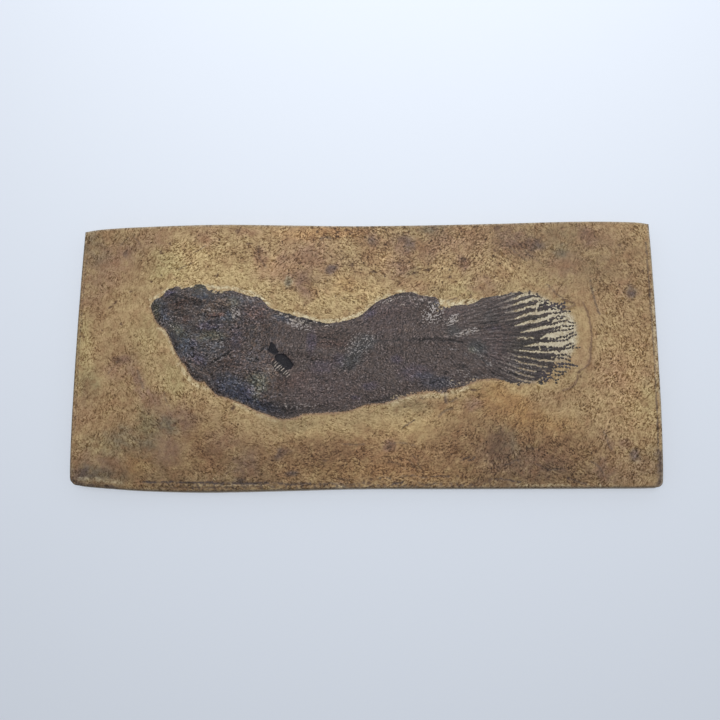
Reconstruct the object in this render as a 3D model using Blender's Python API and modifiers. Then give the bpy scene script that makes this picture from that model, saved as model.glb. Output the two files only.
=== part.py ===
"""Fossil fish slab: a bowfin-like fish, preserved as a thin sculptured film, lying in a cast resin plate.

Frame: X runs along the plate towards the fish's tail, Y across it towards the fish's back, Z up.
The origin is on the plate's flat underside, under the middle of its outline.
"""

import math

import bmesh
import bpy
from mathutils import Vector

# Driving dimensions, in metres.
PLATE_LENGTH = 0.3026
PLATE_WIDTH = 0.1424
PLATE_THICKNESS = 0.010
ARRIS = 0.0006          # worn bevel along every edge of the plate
CORNER_RADIUS = 0.0022  # the two front corners are rubbed round
GRIND_DEPTH = 0.0011    # how far the ground strip on the front edge drops at its outer end
GRIND_WIDTH = 0.0052
BED_DEPTH = 0.0006      # the fish lies this deep in the plate
CLEARANCE = 0.0003      # between the fish and the bed's floor and walls
LEDGE_RADIUS = 0.0006   # round edge of the varnish film behind the tail
LEDGE_RISE = 0.00035
RAY_SINK = 0.00005      # the rays' undersides are this much above the skin's underside
SKIN_CELL = 0.0022      # size of the facets of the fish's skin

# The parts' own heights above the plate's face, in metres.
SKIN_EDGE_RISE = 0.00035
SKIN_CROWN_RISE = 0.00095
TAIL_RAY_RISE = 0.0014
DORSAL_RAY_RISE = 0.00145

# Outlines and routes, in millimetres, as (x, y).
MM = 0.001

# The plate's sides are slightly bowed. Each list runs clockwise from one corner to the next.
BACK_SIDE = [(-149.9, 68.0), (-140, 69.4), (-120, 70.4), (-80, 71.2), (-40, 70.3), (0, 69.3),
             (60, 69.5), (110, 70.2), (140, 69.6), (149.9, 68.3)]
RIGHT_SIDE = [(150.6, 45), (151.2, 5), (151.3, -30), (150.7, -58)]
FRONT_SIDE = [(130, -69.0), (60, -69.3), (0, -69.4), (-40, -70.4), (-80, -71.2), (-110, -70.6),
              (-130, -69.4)]
LEFT_SIDE = [(-150.8, -58), (-151.3, -30), (-151.2, 10), (-150.6, 45)]
FRONT_RIGHT_CORNER = (149.7, -68.7)
FRONT_LEFT_CORNER = (-149.7, -67.2)

# Crease where the ground strip leaves the plate's face.
GRIND_CREASE = [(-149, -66.9), (0, -69.4)]

# The fish's back, from the snout to the root of the tail fin.
BACK = [(-112, 26.5), (-109, 30.3), (-104.5, 34.5), (-99, 37), (-95.5, 35.7), (-91, 36.3),
        (-88, 38), (-84, 37.5), (-80.5, 35), (-74, 34.2), (-70, 34.8), (-64, 32.8), (-56, 31.2),
        (-52, 28.5), (-48, 24.5), (-42, 22.5), (-30, 19.3), (-20, 16.8), (-13, 16.8), (-6, 18.3),
        (0, 21), (6, 26.5), (13, 30), (19, 32.2), (26, 32.8), (33, 30.5), (38, 30), (41, 25),
        (48, 25.3), (55, 25.5), (62, 29), (66, 30.6)]
# Where the skin ends and the tail fin's rays run on alone, from top to bottom.
SKIN_END = [(71, 29.4), (73.5, 26), (77, 21.5), (81, 17.5), (83.5, 12.5), (85.5, 8), (84.5, 4),
            (81.5, 0.5), (78.5, -3), (76.5, -7), (75, -11), (72, -13.9)]
# The fish's belly, from the root of the tail fin to the throat and the snout.
BELLY = [(66, -13.5), (58, -14.7), (52, -17.5), (44, -19.2), (38, -20.2), (30, -20.3),
         (20, -23.5), (10, -26), (0, -27.3), (-8, -30), (-18, -31), (-30, -31.5), (-38, -33.8),
         (-45, -33.2), (-55, -29.5), (-64, -25), (-74, -21.8), (-79, -17.8), (-82, -14.3),
         (-87, -13.2), (-91, -8), (-96, -1.5), (-100, 6.5), (-103.5, 13.3), (-108.5, 17.5),
         (-110.5, 22)]
# Edge of the bed round the tail fin, from top to bottom.
FAN_EDGE = [(72, 31.6), (80, 32.6), (88, 32.8), (96, 30), (104, 27.4), (109, 22), (111.5, 15),
            (112.5, 8), (112.3, 0), (110.8, -7), (106.5, -11.8), (98.5, -15.2), (92, -18),
            (84, -17.6), (75, -16)]

# Skull bones and muscle blocks: centre, half length, half width, turn in degrees, rise in mm.
LUMPS = {
    "snout": ((-106, 26), 7, 5, 40, 0.6),
    "front_skull_roof": ((-97, 31.5), 8, 4, 12, 0.7),
    "rear_skull_roof": ((-86, 32.5), 6, 4.5, 0, 0.8),
    "nape_bone": ((-71, 28.5), 9, 5, -12, 0.7),
    "eye": ((-80, 21), 6.5, 3.5, 20, -0.45),
    "bone_under_eye": ((-80, 15), 7, 2.6, 12, 0.7),
    "cheek": ((-83, 2.5), 10, 5.5, -50, 0.85),
    "gill_cover": ((-61, 12), 9, 12, 0, 0.65),
    "lower_gill_cover": ((-64, -7), 9, 5.5, -35, 0.65),
    "throat_plate": ((-64, -19), 11, 4.5, -28, 0.7),
    "shoulder": ((-50, -20), 6, 8, 20, 0.5),
    "fin_socket": ((-40.5, -4), 6.5, 3.6, -42, -0.6),
    "flank": ((-18, -8), 26, 14, 4, 0.3),
    "tail_stalk": ((36, 4), 20, 11, 6, 0.2),
}
# Raised bars and seams of the skeleton: route, half width in mm, rise in mm.
RIDGES = {
    "upper_jaw": ([(-108, 22), (-102, 12.5), (-96, 4), (-89, -5)], 2.8, 0.65),
    "lower_jaw": ([(-93, -3.5), (-86, -11), (-77, -16.5), (-67, -21)], 2.8, 0.7),
    "gill_cover_rim": ([(-64, 30), (-54, 25), (-48.5, 14), (-50, 2), (-56, -7)], 2.8, 0.5),
    "collar_bone": ([(-49, 8), (-45, -1), (-41.5, -10), (-42, -20), (-46, -29)], 2.6, 0.45),
    "spine": ([(-40, 3), (-18, -1), (2, 1), (22, 6), (44, 6.5), (62, 5)], 2.8, 0.35),
    "dorsal_fin_foot": ([(-2, 17), (10, 22.5), (24, 24), (38, 21)], 2.4, 0.25),
}

# Tail fin rays from root to tip, the top one first.
TAIL_RAYS = [
    [(60, 26.3), (70, 29.4), (80, 31.0), (88, 31.3)],
    [(58, 22.5), (68, 24.8), (80, 27.9), (90, 30.0)],
    [(57, 19.8), (68, 22.0), (80, 24.8), (93, 26.5)],
    [(57, 17.2), (68, 18.7), (82, 21.3), (96, 24.3), (104, 25)],
    [(58, 14.8), (70, 15.6), (82, 17.6), (94, 19.8), (104, 20.8)],
    [(59, 12.3), (72, 12.7), (84, 13.8), (94, 15.4), (106, 18)],
    [(60, 9.9), (74, 9.9), (86, 10.5), (98, 11.6), (109, 14.8)],
    [(61, 7.4), (76, 6.8), (88, 6.2), (100, 6.8), (110.5, 9.5)],
    [(62, 4.9), (76, 3.4), (90, 2.4), (101, 2.2), (110.5, 4.6)],
    [(62, 2.2), (74, -0.6), (88, -1.8), (100, -2.0), (108, -2.8)],
    [(61, -0.4), (74, -3.2), (88, -5.2), (100, -6.0), (109, -7.0)],
    [(60, -3.0), (74, -5.9), (88, -8.4), (98, -9.3), (105, -10)],
    [(58, -5.6), (72, -8.5), (84, -11.0), (97, -13.2)],
    [(57, -8.1), (70, -10.8), (82, -13.4), (92, -15.8)],
    [(56, -10.6), (66, -12.1), (76, -14.6), (84, -16.2)],
]
RAY_HALF_WIDTHS = [0.5, 0.95, 0.95, 0.6]  # from root to tip

# Dorsal fin: its rays stand along this foot, lean back and shorten towards the tail.
DORSAL_FOOT = [(5, 21.5), (14, 23.0), (24, 23.5), (35, 22)]
DORSAL_RAY_COUNT = 12
DORSAL_RAY_LENGTHS = [4, 7.5, 7.5, 6]     # from front to back
DORSAL_RAY_LEAN = 52                      # degrees from upright
DORSAL_RAY_HALF_WIDTH = 0.4

# Edge of the varnish film behind the tail fin.
VARNISH_EDGES = [
    [(115, 24), (117, 18), (118.3, 10), (118.3, 4), (117.3, -3), (115.5, -7), (111.5, -9.4)],
    [(112.2, -11), (110.5, -15), (107, -18), (103, -19.5)],
    [(104, 27.9), (108.5, 26), (110.2, 24.8)],
]

SMOOTH_STEPS = 2        # points added for each one of a smoothed outline
CROWN_MARGIN = 7.0      # mm over which the skin rises from its edge to its crown


# Plane geometry on lists of (x, y).

def catmull_rom(a, b, c, d, t):
    """Point at t from b to c on the smooth curve through a, b, c and d."""
    def axis(i):
        return 0.5 * (2 * b[i] + (c[i] - a[i]) * t
                      + (2 * a[i] - 5 * b[i] + 4 * c[i] - d[i]) * t ** 2
                      + (3 * b[i] - a[i] - 3 * c[i] + d[i]) * t ** 3)
    return axis(0), axis(1)


def smooth_route(points, steps):
    """Open curve through the points, with the given steps for each stretch."""
    ends = [points[0]] + list(points) + [points[-1]]
    route = [catmull_rom(*ends[i:i + 4], step / steps)
             for i in range(len(points) - 1) for step in range(steps)]
    return route + [points[-1]]


def smooth_loop(points, steps):
    """Closed curve through the points."""
    count = len(points)
    return [catmull_rom(*(points[(i + k) % count] for k in (-1, 0, 1, 2)), step / steps)
            for i in range(count) for step in range(steps)]


def grown(loop, distance):
    """The clockwise loop moved outwards by the distance."""
    result = []
    for i, point in enumerate(loop):
        before, after = Vector(loop[i - 1]), Vector(loop[(i + 1) % len(loop)])
        along = (after - before).normalized()
        result.append((point[0] - along.y * distance, point[1] + along.x * distance))
    return result


def rounded_corner(corner, before, after, radius, steps=4):
    """Arc that replaces a corner between the points before and after it."""
    corner = Vector(corner)
    start = (Vector(before) - corner).normalized() * radius
    end = (Vector(after) - corner).normalized() * radius
    middle = corner + start + end
    angles = [i / steps * math.pi / 2 for i in range(steps + 1)]
    return [tuple(middle - end * math.cos(a) - start * math.sin(a)) for a in angles]


def ribbon(route, half_widths, steps=3):
    """Outline of a strip along a smoothed route, its half widths read from root to tip."""
    middle = smooth_route(route, steps)
    left, right = [], []
    for i, point in enumerate(middle):
        along = Vector(middle[min(i + 1, len(middle) - 1)]) - Vector(middle[max(i - 1, 0)])
        across = Vector((-along.y, along.x)).normalized()
        half = along_list(half_widths, i / (len(middle) - 1))
        left.append(tuple(Vector(point) + across * half))
        right.append(tuple(Vector(point) - across * half))
    return left + right[::-1]


def along_list(values, t):
    """Value at t, from 0 to 1, along evenly spaced values."""
    place = t * (len(values) - 1)
    low = min(int(place), len(values) - 2)
    return values[low] + (values[low + 1] - values[low]) * (place - low)


def distance_to_route(x, y, route, closed=False):
    """Shortest distance from (x, y) to a route of straight stretches."""
    best = math.inf
    starts = route if closed else route[:-1]
    for i, (ax, ay) in enumerate(starts):
        bx, by = route[(i + 1) % len(route)]
        dx, dy = bx - ax, by - ay
        t = ((x - ax) * dx + (y - ay) * dy) / (dx * dx + dy * dy)
        t = min(max(t, 0), 1)
        best = min(best, math.hypot(x - ax - t * dx, y - ay - t * dy))
    return best


def smooth_step(t):
    t = min(max(t, 0), 1)
    return t * t * (3 - 2 * t)


# Scene helpers.

def clear_scene():
    for item in list(bpy.data.objects):
        bpy.data.objects.remove(item, do_unlink=True)


def new_collection(name):
    collection = bpy.data.collections.new(name)
    bpy.context.scene.collection.children.link(collection)
    return collection


def new_material(name, colour, roughness):
    material = bpy.data.materials.new(name)
    material.use_nodes = True
    shader = material.node_tree.nodes["Principled BSDF"]
    shader.inputs["Base Color"].default_value = (*colour, 1)
    shader.inputs["Roughness"].default_value = roughness
    shader.inputs["Metallic"].default_value = 0
    return material


def mesh_from_curve(curve, name, height, collection):
    """Turns a curve into a closed mesh object at the given height, its caps welded on."""
    drawn = bpy.data.objects.new(name + "_curve", curve)
    drawn.location.z = height
    collection.objects.link(drawn)
    bpy.context.view_layer.update()
    evaluated = drawn.evaluated_get(bpy.context.evaluated_depsgraph_get())
    mesh = bpy.data.meshes.new_from_object(evaluated)
    work = bmesh.new()
    work.from_mesh(mesh)
    bmesh.ops.remove_doubles(work, verts=work.verts, dist=1e-6)
    bmesh.ops.recalc_face_normals(work, faces=work.faces)
    work.to_mesh(mesh)
    work.free()
    solid = bpy.data.objects.new(name, mesh)
    solid.matrix_world = drawn.matrix_world
    collection.objects.link(solid)
    bpy.data.objects.remove(drawn, do_unlink=True)
    return solid


def flat_solid(name, loops, bottom, top, collection):
    """Solid with the outlines of the loops, in mm, between two heights in metres."""
    curve = bpy.data.curves.new(name, "CURVE")
    curve.dimensions = "2D"
    curve.fill_mode = "BOTH"
    curve.extrude = (top - bottom) / 2
    for loop in loops:
        spline = curve.splines.new("POLY")
        spline.points.add(len(loop) - 1)
        spline.use_cyclic_u = True
        for point, (x, y) in zip(spline.points, loop):
            point.co = (x * MM, y * MM, 0, 1)
    return mesh_from_curve(curve, name, (bottom + top) / 2, collection)


def round_strips(name, routes, radius, height, collection):
    """Round bars along the routes, in mm."""
    curve = bpy.data.curves.new(name, "CURVE")
    curve.dimensions = "3D"
    curve.bevel_depth = radius
    curve.bevel_resolution = 1
    curve.use_fill_caps = True
    for route in routes:
        spline = curve.splines.new("POLY")
        spline.points.add(len(route) - 1)
        for point, (x, y) in zip(spline.points, route):
            point.co = (x * MM, y * MM, 0, 1)
    return mesh_from_curve(curve, name, height, collection)


def as_tool(tool):
    """Leaves a cutter or a joined shape out of the finished part."""
    tool.hide_render = True
    tool.display_type = "WIRE"
    return tool


def combine(solid, tool, operation):
    modifier = solid.modifiers.new(tool.name, "BOOLEAN")
    modifier.operation = operation
    modifier.solver = "EXACT"
    modifier.object = as_tool(tool)


# The plate.

def plate_outline():
    """The plate's outline, clockwise: bowed sides between sharp back and round front corners."""
    back = smooth_route(BACK_SIDE, SMOOTH_STEPS)
    right = smooth_route([BACK_SIDE[-1]] + RIGHT_SIDE, SMOOTH_STEPS)[1:]
    front = smooth_route(FRONT_SIDE, SMOOTH_STEPS)
    left = smooth_route(LEFT_SIDE + [BACK_SIDE[0]], SMOOTH_STEPS)[:-1]
    radius = CORNER_RADIUS / MM
    front_right = rounded_corner(FRONT_RIGHT_CORNER, right[-1], front[0], radius)
    front_left = rounded_corner(FRONT_LEFT_CORNER, front[-1], left[0], radius)
    outline = back + right + front_right + front + front_left + left
    half_length = max(abs(x) for x, _ in outline)
    half_width = max(abs(y) for _, y in outline)
    return [(x * PLATE_LENGTH / MM / 2 / half_length, y * PLATE_WIDTH / MM / 2 / half_width)
            for x, y in outline]


def grind_cutter(collection):
    """Block whose underside is the plane of the ground strip along the front edge."""
    start, end = (Vector((x * MM, y * MM, PLATE_THICKNESS)) for x, y in GRIND_CREASE)
    along = (end - start).normalized()
    tilt = math.atan2(GRIND_DEPTH, GRIND_WIDTH)
    outwards = Vector((along.y, -along.x, 0))
    down_slope = (outwards * math.cos(tilt) - Vector((0, 0, 1)) * math.sin(tilt)).normalized()
    up = along.cross(down_slope)
    if up.z < 0:
        up = -up
    size = 2 * PLATE_LENGTH
    bpy.ops.mesh.primitive_cube_add(size=1)
    block = bpy.context.object
    block.name = "front_grind"
    for owner in list(block.users_collection):
        owner.objects.unlink(block)
    collection.objects.link(block)
    axes = (along * size, down_slope * PLATE_WIDTH / 2, up * PLATE_WIDTH / 4)
    centre = start + axes[1] / 2 + axes[2] / 2
    for vertex in block.data.vertices:
        x, y, z = vertex.co
        vertex.co = centre + axes[0] * x + axes[1] * y + axes[2] * z
    work = bmesh.new()
    work.from_mesh(block.data)
    bmesh.ops.recalc_face_normals(work, faces=work.faces)
    work.to_mesh(block.data)
    work.free()
    return block


def make_plate(parts, tools):
    plate = flat_solid("matrix_slab", [plate_outline()], 0, PLATE_THICKNESS, parts)
    arris = plate.modifiers.new("arris", "BEVEL")
    arris.width = ARRIS
    arris.segments = 2
    arris.limit_method = "ANGLE"
    arris.angle_limit = math.radians(40)
    combine(plate, grind_cutter(tools), "DIFFERENCE")

    bed = grown(smooth_loop(BACK + FAN_EDGE + BELLY, SMOOTH_STEPS), CLEARANCE / MM)
    floor = PLATE_THICKNESS - BED_DEPTH
    combine(plate, flat_solid("fish_bed", [bed], floor, 2 * PLATE_THICKNESS, tools), "DIFFERENCE")

    routes = [smooth_route(edge, 3) for edge in VARNISH_EDGES]
    middle = PLATE_THICKNESS + LEDGE_RISE - LEDGE_RADIUS
    combine(plate, round_strips("varnish_edge", routes, LEDGE_RADIUS, middle, tools), "UNION")
    plate.data.materials.append(new_material("cast_resin", (0.42, 0.28, 0.125), 0.5))
    return plate


# The fish.

def lump_height(x, y, centre, half_length, half_width, turn, rise):
    """Height of an oval swelling at (x, y), in mm."""
    angle = math.radians(turn)
    dx, dy = x - centre[0], y - centre[1]
    along = (dx * math.cos(angle) + dy * math.sin(angle)) / half_length
    across = (dy * math.cos(angle) - dx * math.sin(angle)) / half_width
    return rise * smooth_step(1.5 - 1.1 * math.hypot(along, across))


def skin_height(x, y, outline):
    """Height of the skin above the plate's face at (x, y), in mm."""
    inwards = distance_to_route(x, y, outline, closed=True)
    crown = smooth_step(inwards / CROWN_MARGIN)
    height = (SKIN_EDGE_RISE + (SKIN_CROWN_RISE - SKIN_EDGE_RISE) * crown) / MM
    for lump in LUMPS.values():
        height += lump_height(x, y, *lump) * crown
    for route, half_width, rise in RIDGES.values():
        height += rise * smooth_step(1.3 - distance_to_route(x, y, route) / half_width)
    return height


def skin_block(outline, underside, collection):
    """Block over the whole fish: sculptured above, flat below."""
    reach = SKIN_CELL / MM
    low = Vector((min(x for x, _ in outline) - reach, min(y for _, y in outline) - reach))
    high = Vector((max(x for x, _ in outline) + reach, max(y for _, y in outline) + reach))
    size = high - low
    work = bmesh.new()
    bmesh.ops.create_grid(work, x_segments=round(size.x / reach), y_segments=round(size.y / reach),
                          size=0.5)
    for vertex in work.verts:
        x = low.x + (vertex.co.x + 0.5) * size.x
        y = low.y + (vertex.co.y + 0.5) * size.y
        vertex.co = (x * MM, y * MM, PLATE_THICKNESS + skin_height(x, y, outline) * MM)
    bmesh.ops.triangulate(work, faces=work.faces)
    extruded = bmesh.ops.extrude_face_region(work, geom=work.faces[:])
    for item in extruded["geom"]:
        if isinstance(item, bmesh.types.BMVert):
            item.co.z = underside
    bmesh.ops.recalc_face_normals(work, faces=work.faces)
    mesh = bpy.data.meshes.new("fish")
    work.to_mesh(mesh)
    work.free()
    block = bpy.data.objects.new("fish", mesh)
    collection.objects.link(block)
    return block


def dorsal_ray(index):
    """Route of one ray of the dorsal fin, from its foot to its tip."""
    t = index / (DORSAL_RAY_COUNT - 1)
    foot = Vector((along_list([p[0] for p in DORSAL_FOOT], t),
                   along_list([p[1] for p in DORSAL_FOOT], t)))
    lean = math.radians(DORSAL_RAY_LEAN)
    length = along_list(DORSAL_RAY_LENGTHS, t)
    tip = foot + Vector((math.sin(lean), math.cos(lean))) * length
    return [tuple(foot), tuple((foot + tip) / 2), tuple(tip)]


def make_fish(parts, tools):
    underside = PLATE_THICKNESS - BED_DEPTH + CLEARANCE
    outline = smooth_loop(BACK + SKIN_END + BELLY, SMOOTH_STEPS)
    fish = skin_block(outline, underside, parts)
    silhouette = flat_solid("silhouette", [outline], 0, 2 * PLATE_THICKNESS, tools)
    combine(fish, silhouette, "INTERSECT")

    rays = [ribbon(route, RAY_HALF_WIDTHS) for route in TAIL_RAYS]
    foot = underside + RAY_SINK
    top = PLATE_THICKNESS + TAIL_RAY_RISE
    combine(fish, flat_solid("tail_rays", rays, foot, top, tools), "UNION")
    rays = [ribbon(dorsal_ray(i), [DORSAL_RAY_HALF_WIDTH] * 2, 1) for i in range(DORSAL_RAY_COUNT)]
    top = PLATE_THICKNESS + DORSAL_RAY_RISE
    combine(fish, flat_solid("dorsal_rays", rays, foot, top, tools), "UNION")
    fish.data.materials.append(new_material("fossil_film", (0.075, 0.055, 0.05), 0.6))
    return fish


def main():
    clear_scene()
    parts = new_collection("fossil_fish_slab")
    tools = new_collection("cutters")
    make_plate(parts, tools)
    make_fish(parts, tools)


main()
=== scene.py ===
import math

import bmesh
import bpy
import numpy as np
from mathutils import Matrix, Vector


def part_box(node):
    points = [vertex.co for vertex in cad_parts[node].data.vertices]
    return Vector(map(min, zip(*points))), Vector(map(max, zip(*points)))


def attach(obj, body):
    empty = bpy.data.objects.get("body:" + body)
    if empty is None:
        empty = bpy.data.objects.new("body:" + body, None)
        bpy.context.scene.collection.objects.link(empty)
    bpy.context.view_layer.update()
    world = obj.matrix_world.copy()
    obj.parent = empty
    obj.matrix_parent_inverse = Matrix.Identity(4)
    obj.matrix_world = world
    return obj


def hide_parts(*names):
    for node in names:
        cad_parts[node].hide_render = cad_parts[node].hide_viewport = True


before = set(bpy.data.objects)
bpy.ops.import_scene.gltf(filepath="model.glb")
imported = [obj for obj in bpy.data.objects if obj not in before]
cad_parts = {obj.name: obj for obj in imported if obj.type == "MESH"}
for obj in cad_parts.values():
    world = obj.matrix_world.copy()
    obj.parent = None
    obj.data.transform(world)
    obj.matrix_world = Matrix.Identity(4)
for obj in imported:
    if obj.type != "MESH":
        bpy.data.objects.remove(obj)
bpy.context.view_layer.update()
mm = 0.001
plateLow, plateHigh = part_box("matrix_slab")
fishLow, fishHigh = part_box("fish")
bedGap = 0.3             # mm from the fish's underside up to the plate's face
faceHeight = fishLow[2] / mm + bedGap   # mm, the plate's face
plateLength = (plateHigh[0] - plateLow[0]) / mm
plateWidth = (plateHigh[1] - plateLow[1]) / mm
print("frame loaded, plate face at", round(faceHeight, 3), "mm")


# Maths on arrays. Lengths are in mm, and colours are screen values from 0 to 255 until mesh time.
# Each noise has its own seed, so every run gives the same slab.

def smoothStep(low, high, value):
    t = np.clip((value - low) / (high - low), 0, 1)
    return t * t * (3 - 2 * t)


def softNoise(x, y, size, seed):
    # gradient noise from about -1 to 1, turned so that its lattice lies askew
    rng = np.random.default_rng(seed)
    turn = rng.uniform(0.2, 1.3)
    away = 1000              # cells, so that no lattice number is negative
    u = (x * math.cos(turn) - y * math.sin(turn)) / size + away
    v = (x * math.sin(turn) + y * math.cos(turn)) / size + away
    iu, iv = np.floor(u).astype(int), np.floor(v).astype(int)
    fu, fv = u - iu, v - iv
    side = 256
    angles = rng.uniform(0, 2 * math.pi, (side, side))
    total = np.zeros_like(u)
    wu = fu ** 3 * (fu * (fu * 6 - 15) + 10)
    wv = fv ** 3 * (fv * (fv * 6 - 15) + 10)
    for du in (0, 1):
        for dv in (0, 1):
            a = angles[(iu + du) % side, (iv + dv) % side]
            weight = (wu if du else 1 - wu) * (wv if dv else 1 - wv)
            total += weight * (np.cos(a) * (fu - du) + np.sin(a) * (fv - dv))
    return total * 1.6


def cloud(x, y, size, seed, layers=3):
    # noise with finer layers on it, about -1 to 1
    total = sum(softNoise(x, y, size / 2 ** k, seed + k) / 2 ** k for k in range(layers))
    return total / (2 - 0.5 ** (layers - 1)) * 1.2


def combed(x, y, lie, size, length, seed):
    # noise drawn out along a direction field, about -1 to 1
    count = max(5, round(1.6 * length / size))
    taps = np.linspace(-0.5, 0.5, count) * length
    total = sum(softNoise(x + t * lie[:, 0], y + t * lie[:, 1], size, seed) for t in taps)
    return total / count * 1.7 * math.sqrt(count / 5)


def lieField(x, y, points, wander, size, seed):
    # unit directions blended from given ones (x, y, angle), without a sign
    core, falloff = 12, 1.8  # square mm round each point, and how fast its pull fades
    total = np.zeros((len(x), 2))
    for cx, cy, angle in points:
        weight = 1 / ((x - cx) ** 2 + (y - cy) ** 2 + core) ** falloff
        double = 2 * math.radians(angle)
        total += weight[:, None] * np.array([math.cos(double), math.sin(double)])
    angle = np.arctan2(total[:, 1], total[:, 0]) / 2 + wander * cloud(x, y, size, seed)
    return np.stack([np.cos(angle), np.sin(angle), np.zeros(len(x))], 1)


def smoothRoute(points, steps=4, closed=False):
    # Catmull-Rom curve through rows of any width, so widths are smoothed with the places
    p = np.array(points, float)
    if closed:
        p = np.vstack([p[-1:], p, p[:2]])
    else:
        p = np.vstack([p[:1], p, p[-1:]])
    t = np.arange(steps)[:, None] / steps
    rows = []
    for a, b, c, d in zip(p[:-3], p[1:-2], p[2:-1], p[3:]):
        rows.append(0.5 * (2 * b + (c - a) * t + (2 * a - 5 * b + 4 * c - d) * t ** 2
                           + (3 * b - a - 3 * c + d) * t ** 3))
    route = np.vstack(rows)
    return route if closed else np.vstack([route, p[-2:-1]])


def inReach(x, y, points, reach):
    low, high = np.min(points, 0) - reach, np.max(points, 0) + reach
    return (x > low[0]) & (x < high[0]) & (y > low[1]) & (y < high[1])


def nearestOnRoute(x, y, route, reach, closed=False):
    # distance to a route, at most reach, and the route's third column at the nearest place
    ends = np.roll(route, -1, axis=0) if closed else route[1:]
    starts = route if closed else route[:-1]
    distance = np.full(x.shape, float(reach))
    third = np.zeros(x.shape)
    around = np.nonzero(inReach(x, y, route, reach))[0]
    u, v = x[around], y[around]
    for a, b in zip(starts, ends):
        here = inReach(u, v, (a, b), reach)
        spot, su, sv = around[here], u[here], v[here]
        dx, dy = b[0] - a[0], b[1] - a[1]
        t = ((su - a[0]) * dx + (sv - a[1]) * dy) / max(dx * dx + dy * dy, 1e-9)
        t = np.clip(t, 0, 1)
        found = np.hypot(su - a[0] - t * dx, sv - a[1] - t * dy)
        closer = found < distance[spot]
        distance[spot[closer]] = found[closer]
        if len(a) > 2:
            third[spot[closer]] = a[2] + (b[2] - a[2]) * t[closer]
    return distance, third


def routeDistance(x, y, route, reach, closed=False):
    return nearestOnRoute(x, y, route, reach, closed)[0]


def stroke(x, y, route, full, gone):
    # 1 within full mm of a smoothed route, fading to 0 at gone mm
    return 1 - smoothStep(full, gone, routeDistance(x, y, smoothRoute(route), gone))


def insideLoop(x, y, loop):
    inside = np.zeros(x.shape, bool)
    for (ax, ay), (bx, by) in zip(loop, np.roll(loop, -1, axis=0)):
        if ay == by:
            continue
        crossing = (ay > y) != (by > y)
        inside ^= crossing & (x < (bx - ax) * (y - ay) / (by - ay) + ax)
    return inside


def loopDepth(x, y, loop, reach):
    # mm inside a closed loop, negative outside it, at most reach either way
    distance = routeDistance(x, y, loop, reach, closed=True)
    return np.where(insideLoop(x, y, loop), distance, -distance)


def oval(x, y, spot, soft=0.6):
    # 1 in the middle of an oval (x, y, half length, half width, turn), fading out at its rim
    cx, cy, halfLong, halfWide, turn = spot
    a = math.radians(turn)
    along = ((x - cx) * math.cos(a) + (y - cy) * math.sin(a)) / halfLong
    across = ((y - cy) * math.cos(a) - (x - cx) * math.sin(a)) / halfWide
    return 1 - smoothStep(1 - soft, 1 + soft, np.hypot(along, across))


def fade(piece, name, value):
    # 0 to 1 between the two places that the piece's dictionary gives
    low, high = piece["fades"][name]
    return smoothStep(low, high, value)


def paint(tint, colours, layers):
    # lays a named colour over the others through each layer's mask
    for name, mask in layers:
        tint = tint + (np.array(colours[name], float) - tint) * mask[:, None]
    return tint


def laidOver(tint, other, mask):
    # the same for a colour that changes from point to point
    return tint * (1 - mask[:, None]) + other * mask[:, None]


def linear(colour):
    c = np.clip(colour / 255, 0, 1)
    return np.where(c <= 0.04045, c / 12.92, ((c + 0.055) / 1.055) ** 2.4)


# Mesh helpers.

def closeBelow(work, levels):
    # walls from the open rim down to each level in turn, and a bottom at the last one
    rim = [edge for edge in work.edges if edge.is_boundary]
    for level in levels:
        made = bmesh.ops.extrude_edge_only(work, edges=rim)["geom"]
        rim = [item for item in made if isinstance(item, bmesh.types.BMEdge)]
        for vertex in {vertex for edge in rim for vertex in edge.verts}:
            vertex.co.z = level
    bmesh.ops.holes_fill(work, edges=rim)
    bmesh.ops.recalc_face_normals(work, faces=work.faces)


def meshPiece(name, work, material):
    mesh = bpy.data.meshes.new(name)
    work.to_mesh(mesh)
    work.free()
    mesh.materials.append(material)
    piece = bpy.data.objects.new(name, mesh)
    bpy.context.scene.collection.objects.link(piece)
    return piece


def getPlaces(mesh):
    places = np.zeros(len(mesh.vertices) * 3)
    mesh.vertices.foreach_get("co", places)
    return places.reshape(-1, 3)


def setPlaces(mesh, x, y, z):
    mesh.vertices.foreach_set("co", (np.stack([x, y, z], 1) * mm).astype(np.float32).ravel())
    mesh.update()


def setTint(mesh, colour):
    rows = np.ones((len(mesh.vertices), 4), np.float32)
    rows[:, :3] = linear(colour)
    layer = mesh.color_attributes.new("tint", "FLOAT_COLOR", "POINT")
    layer.data.foreach_set("color", rows.ravel())


def setNumber(mesh, name, values):
    layer = mesh.attributes.new(name, "FLOAT", "POINT")
    layer.data.foreach_set("value", values.astype(np.float32))


def setDirection(mesh, name, rows):
    layer = mesh.attributes.new(name, "FLOAT_VECTOR", "POINT")
    layer.data.foreach_set("vector", rows.astype(np.float32).ravel())


# Shader helpers. A wire wraps a socket, so that expressions on it add nodes to its tree.

def plug(node, sockets):
    # links the wires and sets the plain values
    for name, value in sockets.items():
        if isinstance(value, Wire):
            value.tree.links.new(value.socket, node.inputs[name])
        else:
            node.inputs[name].default_value = value


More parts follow.
